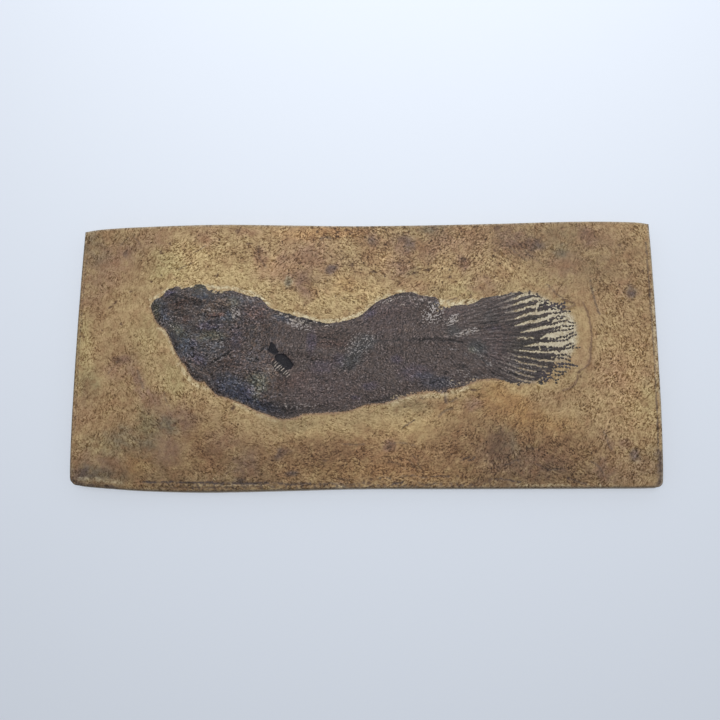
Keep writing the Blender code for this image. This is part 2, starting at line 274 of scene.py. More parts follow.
class Wire:
    def __init__(self, tree, socket=None):
        self.tree = tree
        self.socket = socket

    def node(self, kind, settings=None, sockets=None, out=0):
        made = self.tree.nodes.new("ShaderNode" + kind)
        for name, value in (settings or {}).items():
            setattr(made, name, value)
        plug(made, sockets or {})
        return Wire(self.tree, made.outputs[out])

    def maths(self, operation, *others):
        values = dict(enumerate((self,) + others))
        return self.node("Math", {"operation": operation}, values)

    def __add__(self, other):
        return self.maths("ADD", other)

    __radd__ = __add__

    def __mul__(self, other):
        return self.maths("MULTIPLY", other)

    __rmul__ = __mul__

    def __sub__(self, other):
        return self.maths("SUBTRACT", other)

    def __rsub__(self, other):
        return self.node("Math", {"operation": "SUBTRACT"}, {0: other, 1: self})

    def __truediv__(self, other):
        return self.maths("DIVIDE", other)

    def fade(self, low, high):
        settings = {"interpolation_type": "SMOOTHSTEP"}
        return self.node("MapRange", settings, {"Value": self, "From Min": low, "From Max": high})

    def noise(self, scale, detail=0.0, rough=0.5, out="Fac"):
        sockets = {"Vector": self, "Scale": scale, "Detail": detail, "Roughness": rough}
        return self.node("TexNoise", {}, sockets, out)

    def shifted(self, offset):
        return self.node("VectorMath", {"operation": "ADD"}, {0: self, 1: offset})

    def scaled(self, factor):
        return self.node("VectorMath", {"operation": "SCALE"}, {0: self, "Scale": factor})

    def blended(self, other, factor, blend="MIX"):
        settings = {"data_type": "RGBA", "blend_type": blend, "clamp_result": False}
        return self.node("Mix", settings, {0: factor, 6: self, 7: other}, 2)

    def drawnOut(self, lie, steps, scale):
        # noise at this place averaged over steps in mm along a direction
        return sum(self.shifted(lie.scaled(step)).noise(scale) for step in steps) / len(steps)

    def stored(self, name, out):
        return self.node("Attribute", {"attribute_name": name}, {}, out)

    def place(self):
        # the place on the piece, in mm
        return self.node("TexCoord", {}, {}, "Object").scaled(1 / mm)


def newMaterial(name):
    material = bpy.data.materials.new(name)
    material.use_nodes = True
    tree = material.node_tree
    return material, tree.nodes["Principled BSDF"], Wire(tree)


def finish(shader, piece, colour, unevenness, height):
    # the last step of both finishes, with the numbers from the piece's dictionary
    bump = height.node("Bump", {}, {"Strength": piece["bumpStrength"],
                                    "Distance": piece["bumpDepth"] * mm, "Height": height}, "Normal")
    plug(shader, {"Base Color": colour, "Roughness": unevenness + piece["roughness"],
                  "Normal": bump, "Specular IOR Level": piece["specular"]})


# The plate: a cast resin slab with a hand-finished face.

plate = dict(
    backSide=[(-149.9, 68.0), (-140, 69.4), (-120, 70.4), (-80, 71.2), (-40, 70.3), (0, 69.3), (60, 69.5),
              (110, 70.2), (140, 69.6), (149.9, 68.3)],
    frontSide=[(-149.9, -67.1), (-145, -68.1), (-130, -69.4), (-110, -70.6), (-80, -71.2), (-40, -70.4),
               (0, -69.4), (60, -69.3), (130, -69.0), (149.9, -68.7)],
    leftSide=[(-149.9, -68), (-150.8, -58), (-151.3, -30), (-151.2, 10), (-150.6, 45), (-149.9, 69)],
    rightSide=[(149.9, -69), (150.7, -58), (151.3, -30), (151.2, 5), (150.6, 45), (149.9, 69)],
    cornerRadius=2.6,
    arris=0.62,
    bottomArris=0.4,
    fit=0.9988,                                     # scale that keeps it inside its solid
    meanReach=80,                                   # mm from the middle, where an inset is true
    edgeRows=[0, 0.1, 0.25, 0.45, 0.7, 1.1, 1.6],   # mm from the edge
    cell=0.82,
    crease=[(-149, -66.9), (0, -69.4)],             # where the ground front strip starts
    grindSlope=0.21,
    wallRows=[0.9, 2.2, 4.0, 6.0, 8.0, 9.2],        # mm below the face
    varnishEdges=[
        [(114.6, 26), (116.2, 22), (117.6, 16), (118.3, 10), (117.9, 4), (117.3, 0),
         (117.3, -3), (116, -6.6), (113, -9), (111.4, -9.8)],
        [(110.4, -12.6), (109.6, -15.6), (107, -18.4), (103, -20)],
        [(104.2, 27.9), (108.5, 26.2), (110.2, 24.8), (107, 23.2), (104, 22.4)]],
    varnishRise=0.26,
    lineDepth=0.12,
    spotDepth=0.1,
    base=(156, 131, 97),
    # the walls' colour, greyer and darker than the face: the cut resin's own colour with painted shade in it
    wall=(140, 125, 104),
    colours=dict(
        straw=(176, 155, 113), pale=(188, 168, 122), khaki=(164, 151, 108), tan=(160, 131, 96),
        amber=(160, 120, 72), brown=(134, 106, 75), rust=(126, 92, 63), rose=(152, 120, 97),
        plum=(126, 98, 84), umber=(98, 74, 56), slate=(108, 99, 83), ink=(92, 78, 75),
        # cream is painted highlight only: the glints and the line along the fish's back
        moss=(128, 118, 88), cream=(198, 187, 156), chalk=(188, 180, 158), dusk=(146, 133, 118),
        # the last two colours below are the arrises' painted shade and painted highlight
        grey=(146, 137, 122), bark=(84, 62, 44), coal=(70, 58, 54), arrisShade=(104, 95, 82),
        arrisHighlight=(158, 151, 138)),
    # where one look passes into the next, between two places in mm along the plate or across it
    fades=dict(
        # litTail parts the painted light on the tail's upper ground from the painted shade below it
        greyBed=(82, 72), litTail=(-12, 3), dirtFront=(-65.6, -67.2), dirtLeft=(-112, -84),
        # the last two here bound the arrises' painted highlight, at the back and at the right
        dirtRight=(90, 50), litBack=(58, 66), litRight=(145, 149)),
    broadStain=3.5,          # mm, stains over this size follow the noise fully
    # stains by colour: x, y, half length, half width, turn in degrees, strength
    stains=dict(
        straw=[(-85, 50, 32, 12, 0, .7), (-112, 44, 10, 9, 20, .4), (-45, 31, 16, 7, -25, .7),
               (-8, 58, 13, 8, 0, .35), (-66, -31, 20, 7, -22, .5), (-110, -2, 9, 22, 28, .55),
               (-92, -17, 12, 7, -40, .6), (62, -20, 30, 4, 4, .5), (84, 38, 18, 7, -3, .5),
               (10, 33, 11, 6, 15, .6), (124, 6, 12, 12, 0, .4), (142, -36, 9, 13, 0, .5),
               (146, 63, 6, 6, 0, .45), (112, -30, 14, 10, 0, .25), (-124, 26, 10, 12, 0, .4),
               (70, 50, 10, 7, 0, .3), (-70, 60, 16, 7, 0, .35), (42, 46, 9, 5, 0, .4)],
        pale=[(-92, 53, 14, 8, 0, .4), (-62, 42, 14, 6, -20, .6), (-14, 27, 24, 9, 4, .7),
              (-8, 40, 14, 7, 0, .35), (47, 36, 11, 8, 10, .6), (54, 30, 8, 4, 0, .5),
              (-25, -38, 18, 6, 2, .6), (14, -35, 24, 9, 6, .55), (29, -40, 8, 6, 0, .6),
              (-95, 41, 20, 4, 3, .4), (-72, 38, 12, 3, -10, .5)],
        khaki=[(-104, 47, 8, 10, 0, .7), (-147, 9, 5, 14, 0, .6), (-114, 12, 8, 9, 30, .5),
               (-98, -14, 6, 9, 30, .6), (-146, -14, 6, 12, 0, .5), (55, 35, 6, 5, 0, .6),
               (145, -24, 4, 8, 0, .5), (62, -19.5, 5, 3, 0, .5), (27, 65, 14, 4, 0, .3),
               (108, 4, 7, 15, 0, .3)],
        tan=[(114, 18, 5, 22, 0, .7), (-124, 46, 7, 9, 0, .5), (-126, 14, 12, 14, 0, .25),
             (-132, -36, 16, 14, 0, .4), (-84, -30, 12, 7, -35, .4), (126, -12, 14, 9, 0, .35),
             (36, 56, 22, 9, 0, .3), (134, 52, 16, 14, 0, .35), (-32, 55, 16, 10, 0, .3)],
        amber=[(22, -54, 56, 15, 0, .28), (48, -34, 14, 9, 0, .2), (-117, -57, 8, 7, 25, .75),
               (-82, -44, 8, 7, 0, .3), (-8, -60, 34, 7, 0, .35), (70, -25, 13, 10, -20, .6),
               (92, -37, 16, 7, -10, .55), (-8, 37, 7, 5, 0, .3), (28, 37, 9, 4, 0, .3),
               (-88, -58, 12, 5, 0, .3), (45, -62, 16, 5, 0, .3), (-20, 65, 20, 3, 0, .3),
               (80, -31, 8, 10, 0, .3)],
        moss=[(-132, -48, 12, 6, -8, .6), (-110, -36, 6, 9, 10, .7), (-143, -17, 4, 8, 0, .45),
              (143, -57, 8, 6, 0, .5), (-134, 62, 8, 6, 0, .35), (88, 31, 5, 2, 0, .3),
              (-20, 63, 8, 3, 0, .3), (26, 42.5, 4, 2, 0, .5), (75, 62, 4, 4, 0, .2)],
        rose=[(-131, 54, 6, 7, 30, .7), (-112, 63, 8, 5, 0, .5), (-84, 64, 6, 5, 0, .55),
              (-143, 32, 7, 10, 0, .5), (-134, 42, 9, 7, 0, .4), (-30, 52, 14, 10, 0, .55),
              (-48, 44, 9, 5, 0, .5), (26, 36, 10, 3.5, 0, .5), (53, 62, 13, 7, 0, .45),
              (62, 36, 8, 4, 0, .6), (106, 47, 8, 6, 0, .6), (112, -3, 5, 6, 0, .6),
              (128, -12, 6, 9, 0, .4), (-128, -8, 10, 4, 10, .6), (-146, -29, 7, 9, 0, .4),
              (136, -60, 14, 6, 0, .45), (100, 32, 6, 3, 0, .4), (137, 33, 5, 5, 0, .4),
              (126, 62, 10, 8, 0, .3), (-61, 66.5, 5, 1.5, 0, .5), (-15, 47, 3, 2, 0, .5)],
        brown=[(-141, 60, 11, 10, -20, .55), (-122, 50, 4, 10, 10, .35), (-142, 25, 8, 5, 0, .4),
               (-66, 54, 8, 5, 10, .4), (-60, -49, 20, 8, -4, .55), (-95, -56, 22, 8, 0, .5),
               (20, -52, 22, 8, 0, .5), (-20, -49, 26, 6, 3, .55), (52, -42, 16, 11, 20, .6),
               (82, 53, 9, 6, -40, .5), (104, -54, 15, 9, 0, .5), (-134, -33, 10, 12, 0, .3),
               (126, 33, 6, 6, 0, .35), (145, 17, 4, 5, 0, .5), (136, 6, 6, 3, 0, .4),
               (141, 57, 9, 6, 0, .3), (-26, 33.5, 2.2, 4, 0, .6), (-5, 35, 5, 1.6, 0, .5),
               (6, 56, 6, 5, 0, .5), (36, 55, 6, 6, 0, .55), (54, -58, 20, 5, 0, .4),
               (116, -52, 8, 8, 0, .3), (-109, -65, 16, 3, 0, .5), (-50, -65, 20, 3, 0, .5),
               (10, -66, 22, 2.5, 0, .45), (90, -63, 26, 4, 0, .5), (60, 66, 14, 3, 0, .3)],
        rust=[(72, -56, 40, 14, 0, .22), (-76, -53, 9, 7, 0, .7), (-92, -44, 8, 7, 30, .45),
              (-10, -51, 19, 7, 4, .6), (14, -57, 16, 7, 0, .4), (28, -56, 6, 6, -45, .6),
              (-40, -59, 12, 5, 0, .4), (94, -50, 16, 8, 0, .55), (48, -46, 10, 7, 0, .35),
              (-10, 66, 16, 3.5, 0, .5), (74, -34, 5, 8, 0, .35), (86, -43, 10, 5, 0, .3),
              (62.5, 35.5, 2.5, 2, 0, .6), (3, 51, 4, 3, 0, .4), (54, 64, 8, 3, 0, .35),
              (-84, 63, 3, 2, 0, .5)],
        plum=[(-124, 56, 5, 6, 0, .5), (39, 60, 7, 8, 0, .3), (-138, 52, 8, 8, 0, .4),
              (-124.5, -3, 4.4, 3.4, 0, .8), (-116, -16, 3, 10, 30, .75), (-108, -24, 5, 5, 0, .6),
              (-95, -34, 9, 6, -10, .7), (-100, -49, 8, 8, 20, .6), (-59, -58, 6, 7, 0, .65),
              (-31, 35, 3.5, 6, 8, .75), (-34, 41, 7, 4, 10, .55), (-27, 54, 8, 6, 0, .35),
              (-54, 53, 2.6, 6, 15, .6), (-42, 52, 3, 4, 0, .5), (21, 58, 7, 5, -30, .7),
              (5, 62, 3.2, 5, 0, .7), (19, 46, 5, 5, 0, .6), (34, 52, 5, 4, 0, .35),
              (53, 48, 4, 4.5, 0, .7), (77, 61, 6, 7, 0, .65), (86, 57, 8, 5, -40, .6),
              (117.5, 62, 3.4, 5.5, 25, .75), (57, -26, 4.4, 2.6, 0, .75), (14, -48, 3, 3, 0, .75),
              (69, -52, 9, 8, 0, .6), (88, -57, 13, 6, 0, .55), (121, -60, 4.5, 6, 20, .6),
              (132, -47, 3, 3, 0, .6), (124, -46, 2, 5, 15, .4), (-137, -58, 13, 6, 0, .5),
              (-128, -57, 6, 7, 0, .4), (108, -9.5, 5, 2, 0, .25), (-72, -45, 8, 5, 0, .35)],
        slate=[(-143, 56, 6, 8, 0, .5), (-148, 64, 4, 6, 0, .5), (103, 54, 4, 3.4, 0, .75),
               (-124, -43, 7, 4, 0, .6), (-113, -48, 7, 5, 30, .6), (-100, -37, 4.5, 3.6, 0, .85),
               (-143, -62, 9, 4.5, 0, .7), (-132, -63, 10, 4, 0, .5), (75, -47, 4, 9, 20, .5),
               (36.5, 67.5, 5, 1.8, 0, .7), (-39.2, 38.6, 2.1, 2.9, 0, .95), (145, -14, 3, 6, 0, .15),
               (139, 31, 3, 4, 0, .4)],
        ink=[(-17, 45.8, 3.2, 2, 18, .9), (90.6, 58.6, 4.4, 3, 0, .85), (25, 58, 3, 3.4, 40, .6),
             (22, 61.5, 3, 2, 0, .5), (-144, -61.6, 6, 3, 0, .75), (137, -53.5, 2.4, 3.4, 0, .8),
             (139, 31.4, 2.2, 3.2, 0, .85), (-41, -51.8, 5, 1.8, 18, .95), (-36, -61.8, 3.2, 1.3, 0, .95),
             (-62, -66, 4, 1, 0, .8), (43, -24.5, 1.2, 2, 0, .7), (4.5, 61, 2, 2, 0, .5),
             (148.8, -60, 1.8, 9, 0, .75), (-127, 55.5, 1.6, 2, 0, .4)],
        umber=[(68, -47, 4, 7, 0, .75), (71.5, -55, 5, 3, 0, .4), (85, -49.4, 3, 1.8, 0, .8),
               (97, -59.4, 6, 1.4, -4, .6), (-78, -52, 4, 4, 0, .4), (-144.5, -18, 2, 5, 0, .35),
               (-129, -2.4, 2.2, 1.8, -40, .7), (-143, 57, 2, 5, 0, .3), (148.8, 31, 1, 3.4, 0, .7),
               (71.4, 67.2, 1.8, 1.3, 20, .85), (-66.7, 67.3, 1.5, 1.1, 0, .85), (60, -66, 4, 1.5, 0, .3)]),
    # broad changes of tone: x, y, half length, half width, turn, change
    tones=[(-75, -67, 70, 8, 0, -.12), (95, -67, 60, 8, 0, -.13), (-128, -60, 24, 9, 0, -.08),
           (-50, -59, 50, 9, 0, -.11), (75, -52, 34, 14, 0, -.13), (100, -63, 26, 8, 0, -.05),
           (112, 52, 30, 14, 0, -.13), (122, 43, 14, 8, 0, -.05), (76, 64, 26, 8, 0, -.08),
           (16, 66, 16, 6, 0, -.1), (-118, 54, 12, 16, 0, -.08), (-143, 38, 8, 8, 0, -.1),
           (-30, 65, 24, 5, 0, .1), (-50, 49, 7, 6, 0, .08), (-28, 41, 9, 4, 0, -.07),
           (-92, -42, 20, 12, 0, -.1), (-118, -42, 12, 12, 0, -.07), (22, -26, 12, 4, -8, -.16),
           (-36, -36, 12, 3, 0, -.12), (39, 33, 7, 4, 0, -.1), (72, 34, 12, 4, 0, -.09),
           (134, -28, 14, 14, 0, .06), (-144, 4, 6, 8, 0, .07), (-16, -53, 14, 8, 0, -.08),
           (-104, 16, 6, 8, 0, -.06), (-120, -4, 14, 12, 0, -.05), (52, -20, 14, 3, 0, -.08),
           (104, 24, 8, 16, 0, -.03), (12, 49, 5, 5, 0, .08), (-6, 50, 10, 4, 0, -.06),
           (139, -6, 12, 16, 0, .08), (12, -28, 20, 4, 0, -.09), (-39, -36, 9, 4, 0, -.1),
           (-6, -36, 14, 5, 0, -.07), (-16, 66, 24, 4, 0, .07), (22, -53, 46, 12, 0, .04),
           (39, 65, 7, 4, 0, -.1), (104, 65, 8, 4, 0, -.11), (58, 65, 9, 4, 0, .06),
           (-90, 49, 20, 12, 0, .05), (-45, 48, 9, 6, 0, .05), (98, 22, 12, 8, 0, -.05),
           (-104, 6, 7, 6, 0, .06), (1, 34, 7, 4, 0, .08), (-132, -65, 10, 4, 0, -.1),
           (-38, -64, 9, 6, 0, .09), (18, -64, 16, 6, 0, .07), (-78, -58, 7, 6, 0, .09),
           (104, -66, 8, 3, 0, .1), (104, -8, 8, 6, 0, -.09), (78, 42, 8, 5, 0, .07),
           (52, 24, 7, 4, 0, -.06), (8, 51, 10, 5, 0, .05), (13, 66, 7, 4, 0, .08),
           (-104, 41, 8, 5, 0, .06), (-13, 41, 7, 5, 0, .05), (-24, 32, 9, 4, 0, .05),
           (-64, -53, 8, 5, 0, -.07), (92, 24, 16, 5, 0, -.06)],
    # small crisp spots in dark brown: x, y, half length, half width, turn
    spots=[
        (-77.2, 43, .7, 1.3, -20), (-79.4, 36, 1, .6, -30), (-66.7, -28.2, 1.1, 1.4, -40),
        (-5.5, 48, 1.1, .9, 0), (48, -23.6, .8, .7, 0), (14, -48.6, 1.6, 1, 0), (-108, 56.2, .6, 1.1, 10),
        (-107.4, 43.3, .6, .6, 0), (-100, 40.8, .5, .5, 0), (-107, 35.9, .7, .4, 0),
        (-112.5, 39.7, .8, .5, -20), (-103.5, 60.8, .6, .6, 0), (-131.6, 28.4, 1.5, .6, 40),
        (-134, 26, 1.4, .5, 30), (-123.2, 34.6, .8, .5, 0), (-127.6, 16.8, .5, .9, 30),
        (-137.5, 13.4, .7, .4, 0), (-147.3, 9.9, .4, .5, 0), (55, 27.7, .6, .8, -10),
        (53.8, 26.4, .6, 1, 20), (56.4, 30.4, .6, .9, 0), (-3.3, 20.8, .5, .4, 0), (45.8, 40.8, .9, .6, 20),
        (45.6, 44.6, .7, .5, 0), (34.6, 44.7, 1, 1, 0), (19.2, 48.4, 1, .7, 0), (64.2, 40.6, 1.4, .5, -35),
        (11.6, 41.6, .5, .7, 0), (5.6, 44, 1.8, .5, 0), (27, 43, 1.4, .6, 30), (53, 50.4, 1.6, .8, -10),
        (52, 46.6, 1.4, .6, 0), (25.4, 56.4, .6, .6, 0), (69.4, 54.8, .6, .8, 40), (-24.2, 66.5, .8, .9, 0),
        (-13, 66.2, 1, .5, 0), (-9, 67.2, .7, .7, 0), (-6, 65.6, .8, .5, 0), (-61, 60.2, 1.6, .5, 0),
        (-9.4, 29.8, .9, .4, 0), (-7, 21.6, .5, .4, 0), (-14.2, 30.8, .4, .4, 0), (4.8, -64.8, .9, .7, 20),
        (3.8, -66.9, 1.4, .6, 0), (1.2, -66, .5, .8, 0), (17, -66.2, .8, .9, 0), (20.2, -66.2, .6, .7, 0),
        (-19, -55.4, 1.6, .5, 0), (48.2, -63.3, .7, .7, 0), (44, -63.2, 1, .4, 0), (64, -65.4, .7, 1, -20),
        (58.6, -65, .5, 1, 0), (57, -67.2, .7, .4, 0), (48.8, -67.8, .9, .5, 20), (65.2, -56, 1.1, .7, 0),
        (62.2, -55.6, .8, .5, 0), (73.4, -67.4, .5, .4, 0), (85.6, -49.3, 1.6, .8, 10),
        (110.6, -10.4, 1, .7, 0), (111.5, -12.6, .6, .8, 0), (106.6, -.6, .4, .4, 0),
        (113.5, -68.4, .6, .4, 0), (-20.4, -57.2, 1, .4, 0), (-114, -68.4, .6, .5, 0),
        (-112.3, -69.3, .5, .7, 0), (-106.6, -68, 1, .6, 20), (-102, -67.8, .7, .5, 0),
        (-55, -56, .8, .8, 0), (-97, -36.6, .7, 1.4, -30), (26.3, -35, .6, .4, 40), (21.4, -28, .5, .5, 0),
        (30.4, -23.3, .8, .5, 20), (57, -19.3, 2, .4, 0), (134, 57, 1, .6, 0), (145.4, 43, .5, 1, 0),
        (119.8, -29.6, .5, .5, 0), (114.8, -48.8, .5, .7, 0), (93.4, -64, 1, .5, 30),
        (103.4, -64.6, 1, .5, 10), (78.6, -66.4, .5, .6, 0), (-69, -61.6, 1, .6, 40)],
    # dark lines: half width, strength, route
    lines=[
        (.45, .95, [(-112, -66.2), (-105, -66.4), (-96, -66.1), (-88, -66.6), (-76, -66.3)]),
        (.55, .95, [(-76, -66.9), (-66, -66.7), (-56, -67), (-48, -66.6)]),
        (.4, .6, [(147.8, 58), (148.3, 40), (148.7, 20), (149, 0), (149, -30), (148.5, -52)]),
        (.35, .35, [(-148.4, 52), (-149.2, 20), (-149.4, -10), (-149.2, -40)]),
        (.4, .5, [(-104, -68.9), (-92, -69.3), (-80, -69.2), (-66, -68.8), (-52, -68.4)]),
        (.5, .7, [(-43, -66.6), (-38, -67.4), (-30, -67.2), (-26, -67)]),
        (.4, .6, [(-20, -67.4), (-16, -66.8), (-9, -67.6), (-4, -67.4)]),
        (.35, .6, [(9, -64.6), (11, -63.4), (14.6, -64.6)]),
        (.4, .7, [(64, -64.6), (67, -64.9), (71, -64.6), (75, -65.5), (80, -66)]),
        (.5, .8, [(15.4, -67.6), (17.4, -66.6), (19, -66.9), (21, -65.8)]),
        (.35, .5, [(20, -63.6), (26, -62.9), (32, -64), (38, -63.2), (44, -63.6)]),
        (.4, .5, [(30, -67.4), (33, -67.6), (37, -67.1)]),
        (.35, .5, [(-12, -64.4), (-9, -64.9), (-6, -64.8)]),
        (.5, .5, [(118.4, 38), (119, 33), (120, 28.4), (121, 24), (122.4, 20)]),
        (.4, .45, [(44, 27.4), (46, 28.4), (49, 29), (51, 30.2)]),
        (.35, .5, [(42.4, -21.4), (42.6, -25.6), (45, -25.4), (47, -24.6)]),
        (.35, .4, [(96, 36), (99, 33), (101, 30.5), (104, 28.5)]),
        (.3, .55, [(20.5, -39), (23.5, -36.8), (27, -34.8)]),
        (.5, .4, [(39, -33), (42.5, -30), (46.6, -28.4)]),
        (.45, .6, [(50, -55.2), (53, -54.2), (54.6, -53.4), (57.4, -53.6)]),
        (.4, .6, [(53.6, -55.4), (55.4, -55), (56.6, -54.4)]),
        (.5, .5, [(72, -57.6), (74.5, -57), (76.6, -55.6), (79, -55)]),
        (.45, .5, [(88, -57), (93, -59.6), (98, -59.8), (101, -59.6)]),
        (.35, .5, [(121.8, -41), (123.2, -44), (124, -47), (125.6, -50)]),
        (.35, .45, [(115, -56), (118, -58), (120.4, -61), (121, -63.4)]),
        (.5, .25, [(-55.6, 58.6), (-55.8, 55), (-54.8, 52), (-53, 49.6), (-51.4, 47.4)]),
        (.7, .45, [(-22.6, 62.6), (-19, 63.2), (-17, 62.6)]),
        (.3, .45, [(-98.6, 46.2), (-95, 48), (-91.4, 49.8)]),
        (.3, .4, [(-90, 55.6), (-86.6, 57.6), (-84, 59.6)]),
        (.3, .4, [(-124, 66.6), (-121.6, 63.4), (-119.6, 60.4)]),
        (.3, .4, [(-130, 60), (-128, 62.6), (-126, 64.4)]),
        (.6, .35, [(-117.6, -8), (-116, -13), (-114, -18)]),
        (.4, .35, [(-103, -20), (-102, -24), (-100, -27)]),
        (.4, .4, [(-128, -3), (-131, -6), (-133, -10)]),
        (.5, .35, [(80, 60), (84, 56), (88, 51.6), (93, 48)]),
        (.5, .3, [(76, 58), (81, 53), (86, 49)]), (.4, .35, [(26, -53), (28, -56), (30, -60)]),
        (.4, .35, [(24, -55), (26, -58), (28, -60.6)]), (.4, .3, [(12, -56), (17, -56.6), (22, -59.6)]),
        (.4, .35, [(14, -46.6), (21, -46.4), (27, -48)]), (.4, .35, [(-10, -46.6), (-5, -47.4), (1, -47)]),
        (.9, .75, [(-148.6, -65.6), (-145, -67.4), (-137, -68.3), (-126, -69)]),
        (1.3, .6, [(149.8, -52), (150.2, -60), (148.8, -67)]),
        (.5, .5, [(103, -64), (108, -66), (112, -67)])],
    # painted highlights, flecks and lines of light mostly along the fish's outline and the plate's edges:
    # half width, strength, route
    glints=[
        (.4, .35, [(-90, -67.7), (-76, -67.9), (-62, -67.9), (-50, -67.6)]),
        (.4, .5, [(-13, -68.5), (-9, -68.6)]), (.5, .8, [(-75.4, -64.6), (-75.1, -64.7)]),
        (.4, .5, [(75, -67.6), (90, -67.9), (104, -67.7)]), (.5, .7, [(112.8, -68), (113.4, -68)]),
        (.5, .7, [(118.8, -68), (119.4, -68)]), (.4, .5, [(-49, -68.8), (-45, -68.9)]),
        (.9, .45, [(-145, -64.6), (-136, -65), (-124, -66.4)]), (.8, .4, [(150, -20), (149.8, 30)]),
        (.7, .8, [(-82, 37.4), (-77, 36), (-70, 36), (-62, 33.8), (-56, 32.2), (-49, 26.6)]),
        (.8, .85, [(-36, 21.9), (-29, 19.6), (-24, 18.2), (-16, 17.6), (-9, 18.4), (0, 21.8)]),
        (.8, .5, [(2, 23.8), (8, 28.8), (14, 31.4)]), (1.3, .8, [(40, 27.6), (46, 26.4), (58, 27.4)]),
        (.6, .6, [(-113, 30), (-110, 31), (-106, 34)]), (.7, .5, [(-108, 14.4), (-104, 12), (-99, 1)]),
        (1.0, .5, [(14, -26.4), (28, -22.8), (42, -21.8), (54, -18)]), (.5, .5, [(119, 34), (120, 33)]),
        (.6, .35, [(-39.6, 41.6), (-41, 38.4), (-39.4, 35.8), (-37.4, 38.4), (-39, 41.6)]),
        (.9, .5, [(-96, -5), (-88, -15), (-80, -18)]), (.8, .4, [(-66, -26), (-52, -32), (-44, -35)])],
    # run of the finishing marks: x, y, angle in degrees
    brush=[
        (-148, 0, 90), (-146, 50, 80), (-130, 30, 82), (-126, -8, 100), (-112, -28, 125), (-140, -40, 75),
        (-92, -48, 158), (-50, -44, 168), (-40, -60, 2), (0, -55, 4), (0, -38, 172), (40, -44, 24),
        (60, -30, 40), (85, -40, 62), (100, -56, 150), (120, -45, 60), (130, -20, 55), (130, 20, 120),
        (148, 0, 90), (135, 52, 125), (105, 45, 60), (80, 55, 130), (50, 40, 50), (30, 60, 35),
        (0, 55, 150), (-20, 28, 155), (-40, 56, 45), (-60, 48, 165), (-80, 45, 12), (-100, 58, 35),
        (-120, 60, 70), (-66, 38, -20), (72, -46, 80), (68, 62, 40), (20, -62, 2), (-100, -12, 105)],
    # how strongly the marks stand out: x, y, half length, half width, change
    marks=[(-80, 54, 24, 12, .3), (20, 56, 62, 16, .55), (50, 44, 22, 8, .25), (-24, 34, 26, 12, .2),
           (134, -12, 14, 44, .35), (114, 16, 5, 24, -.6), (-12, 67, 30, 4, .4), (30, -40, 6, 5, -.4),
           (-124, 45, 6, 8, -.35), (97, 9, 10, 24, -.6), (-100, -50, 10, 8, -.35), (90, -56, 24, 9, .3),
           (-118, 24, 12, 14, -.25), (0, -64, 60, 5, .2), (-10, -38, 60, 11, -.2), (-128, 0, 20, 40, -.12),
           (100, -56, 42, 12, .25), (-30, -56, 44, 9, .15), (106, 47, 8, 8, -.3), (-128, -58, 10, 8, -.3),
           (22, -53, 46, 12, .25)],
    wallMarks=0.4,
    brushSteps=(-0.7, -0.35, 0, 0.35, 0.7),         # mm along the finishing marks
    # what the fine texture multiplies the colour by, the last two being painted shade and painted highlight
    # on blotches, which have no relief
    shades=dict(
        dark=(0.42, 0.335, 0.2, 1), light=(1.38, 1.41, 1.5, 1), speck=(0.3, 0.22, 0.12, 1),
        curl=(0.34, 0.25, 0.15, 1), crumb=(0.36, 0.27, 0.16, 1), blotchShade=(0.7, 0.62, 0.52, 1),
        blotchHighlight=(1.2, 1.22, 1.24, 1)),
    roughness=0.5,
    specular=0.3,
    bumpStrength=0.5,
    bumpDepth=0.12,          # mm
    sharpAngle=50,           # degrees, edges over this stay sharp
)


def sideCurve(side, axis):
    # a side of the plate for np.interp: its places along the axis, and its distance from it
    route = smoothRoute(plate[side], 8)
    order = np.argsort(route[:, axis])
    return route[order, axis], route[order, 1 - axis]


def gradedSteps(length):
    # shares of a side from 0 to 1, closer together next to its ends
    rows = np.array(plate["edgeRows"])
    middle = length - 2 * rows[-1]
    inner = np.linspace(0, middle, round(middle / plate["cell"]) + 1)[1:-1] + rows[-1]
    return np.concatenate([rows, inner, length - rows[::-1]]) / length


def plateFace():
    # (x, y, distance from the edge) for a lattice over the bowed outline
    leftSide, rightSide = sideCurve("leftSide", 1), sideCurve("rightSide", 1)
    frontSide, backSide = sideCurve("frontSide", 0), sideCurve("backSide", 0)
    s, t = np.meshgrid(gradedSteps(plateLength), gradedSteps(plateWidth), indexing="ij")
    x, y = (s - 0.5) * plateLength, (t - 0.5) * plateWidth
    for _ in range(4):
        left, right = np.interp(y, *leftSide), np.interp(y, *rightSide)
        x = left + (right - left) * s
        front, back = np.interp(x, *frontSide), np.interp(x, *backSide)
        y = front + (back - front) * t
    radius = plate["cornerRadius"]
    depth = np.minimum(np.minimum(x - left, right - x), np.minimum(y - front, back - y))
    for fromSide, sign in ((x - left, 1), (right - x, -1)):
        a, b = fromSide - radius, y - front - radius
        corner = (a < 0) & (b < 0)
        far = np.maximum(np.hypot(a, b), 1e-9)
        shrink = np.where(corner, np.maximum(-a, -b) / far, 1)
        x = x + sign * a * (shrink - 1)
        y = y + b * (shrink - 1)
        depth = np.where(corner, radius - far * shrink, depth)
    return x, y, np.maximum(depth, 0)


def stainLayers(x, y, wx, wy):
    for name, spots in plate["stains"].items():
        for *spot, strength in spots:
            if max(spot[2:4]) > plate["broadStain"]:
                yield name, strength * oval(wx, wy, spot, 0.75)
            else:
                yield name, strength * oval(0.35 * wx + 0.65 * x, 0.35 * wy + 0.65 * y, spot, 0.5)


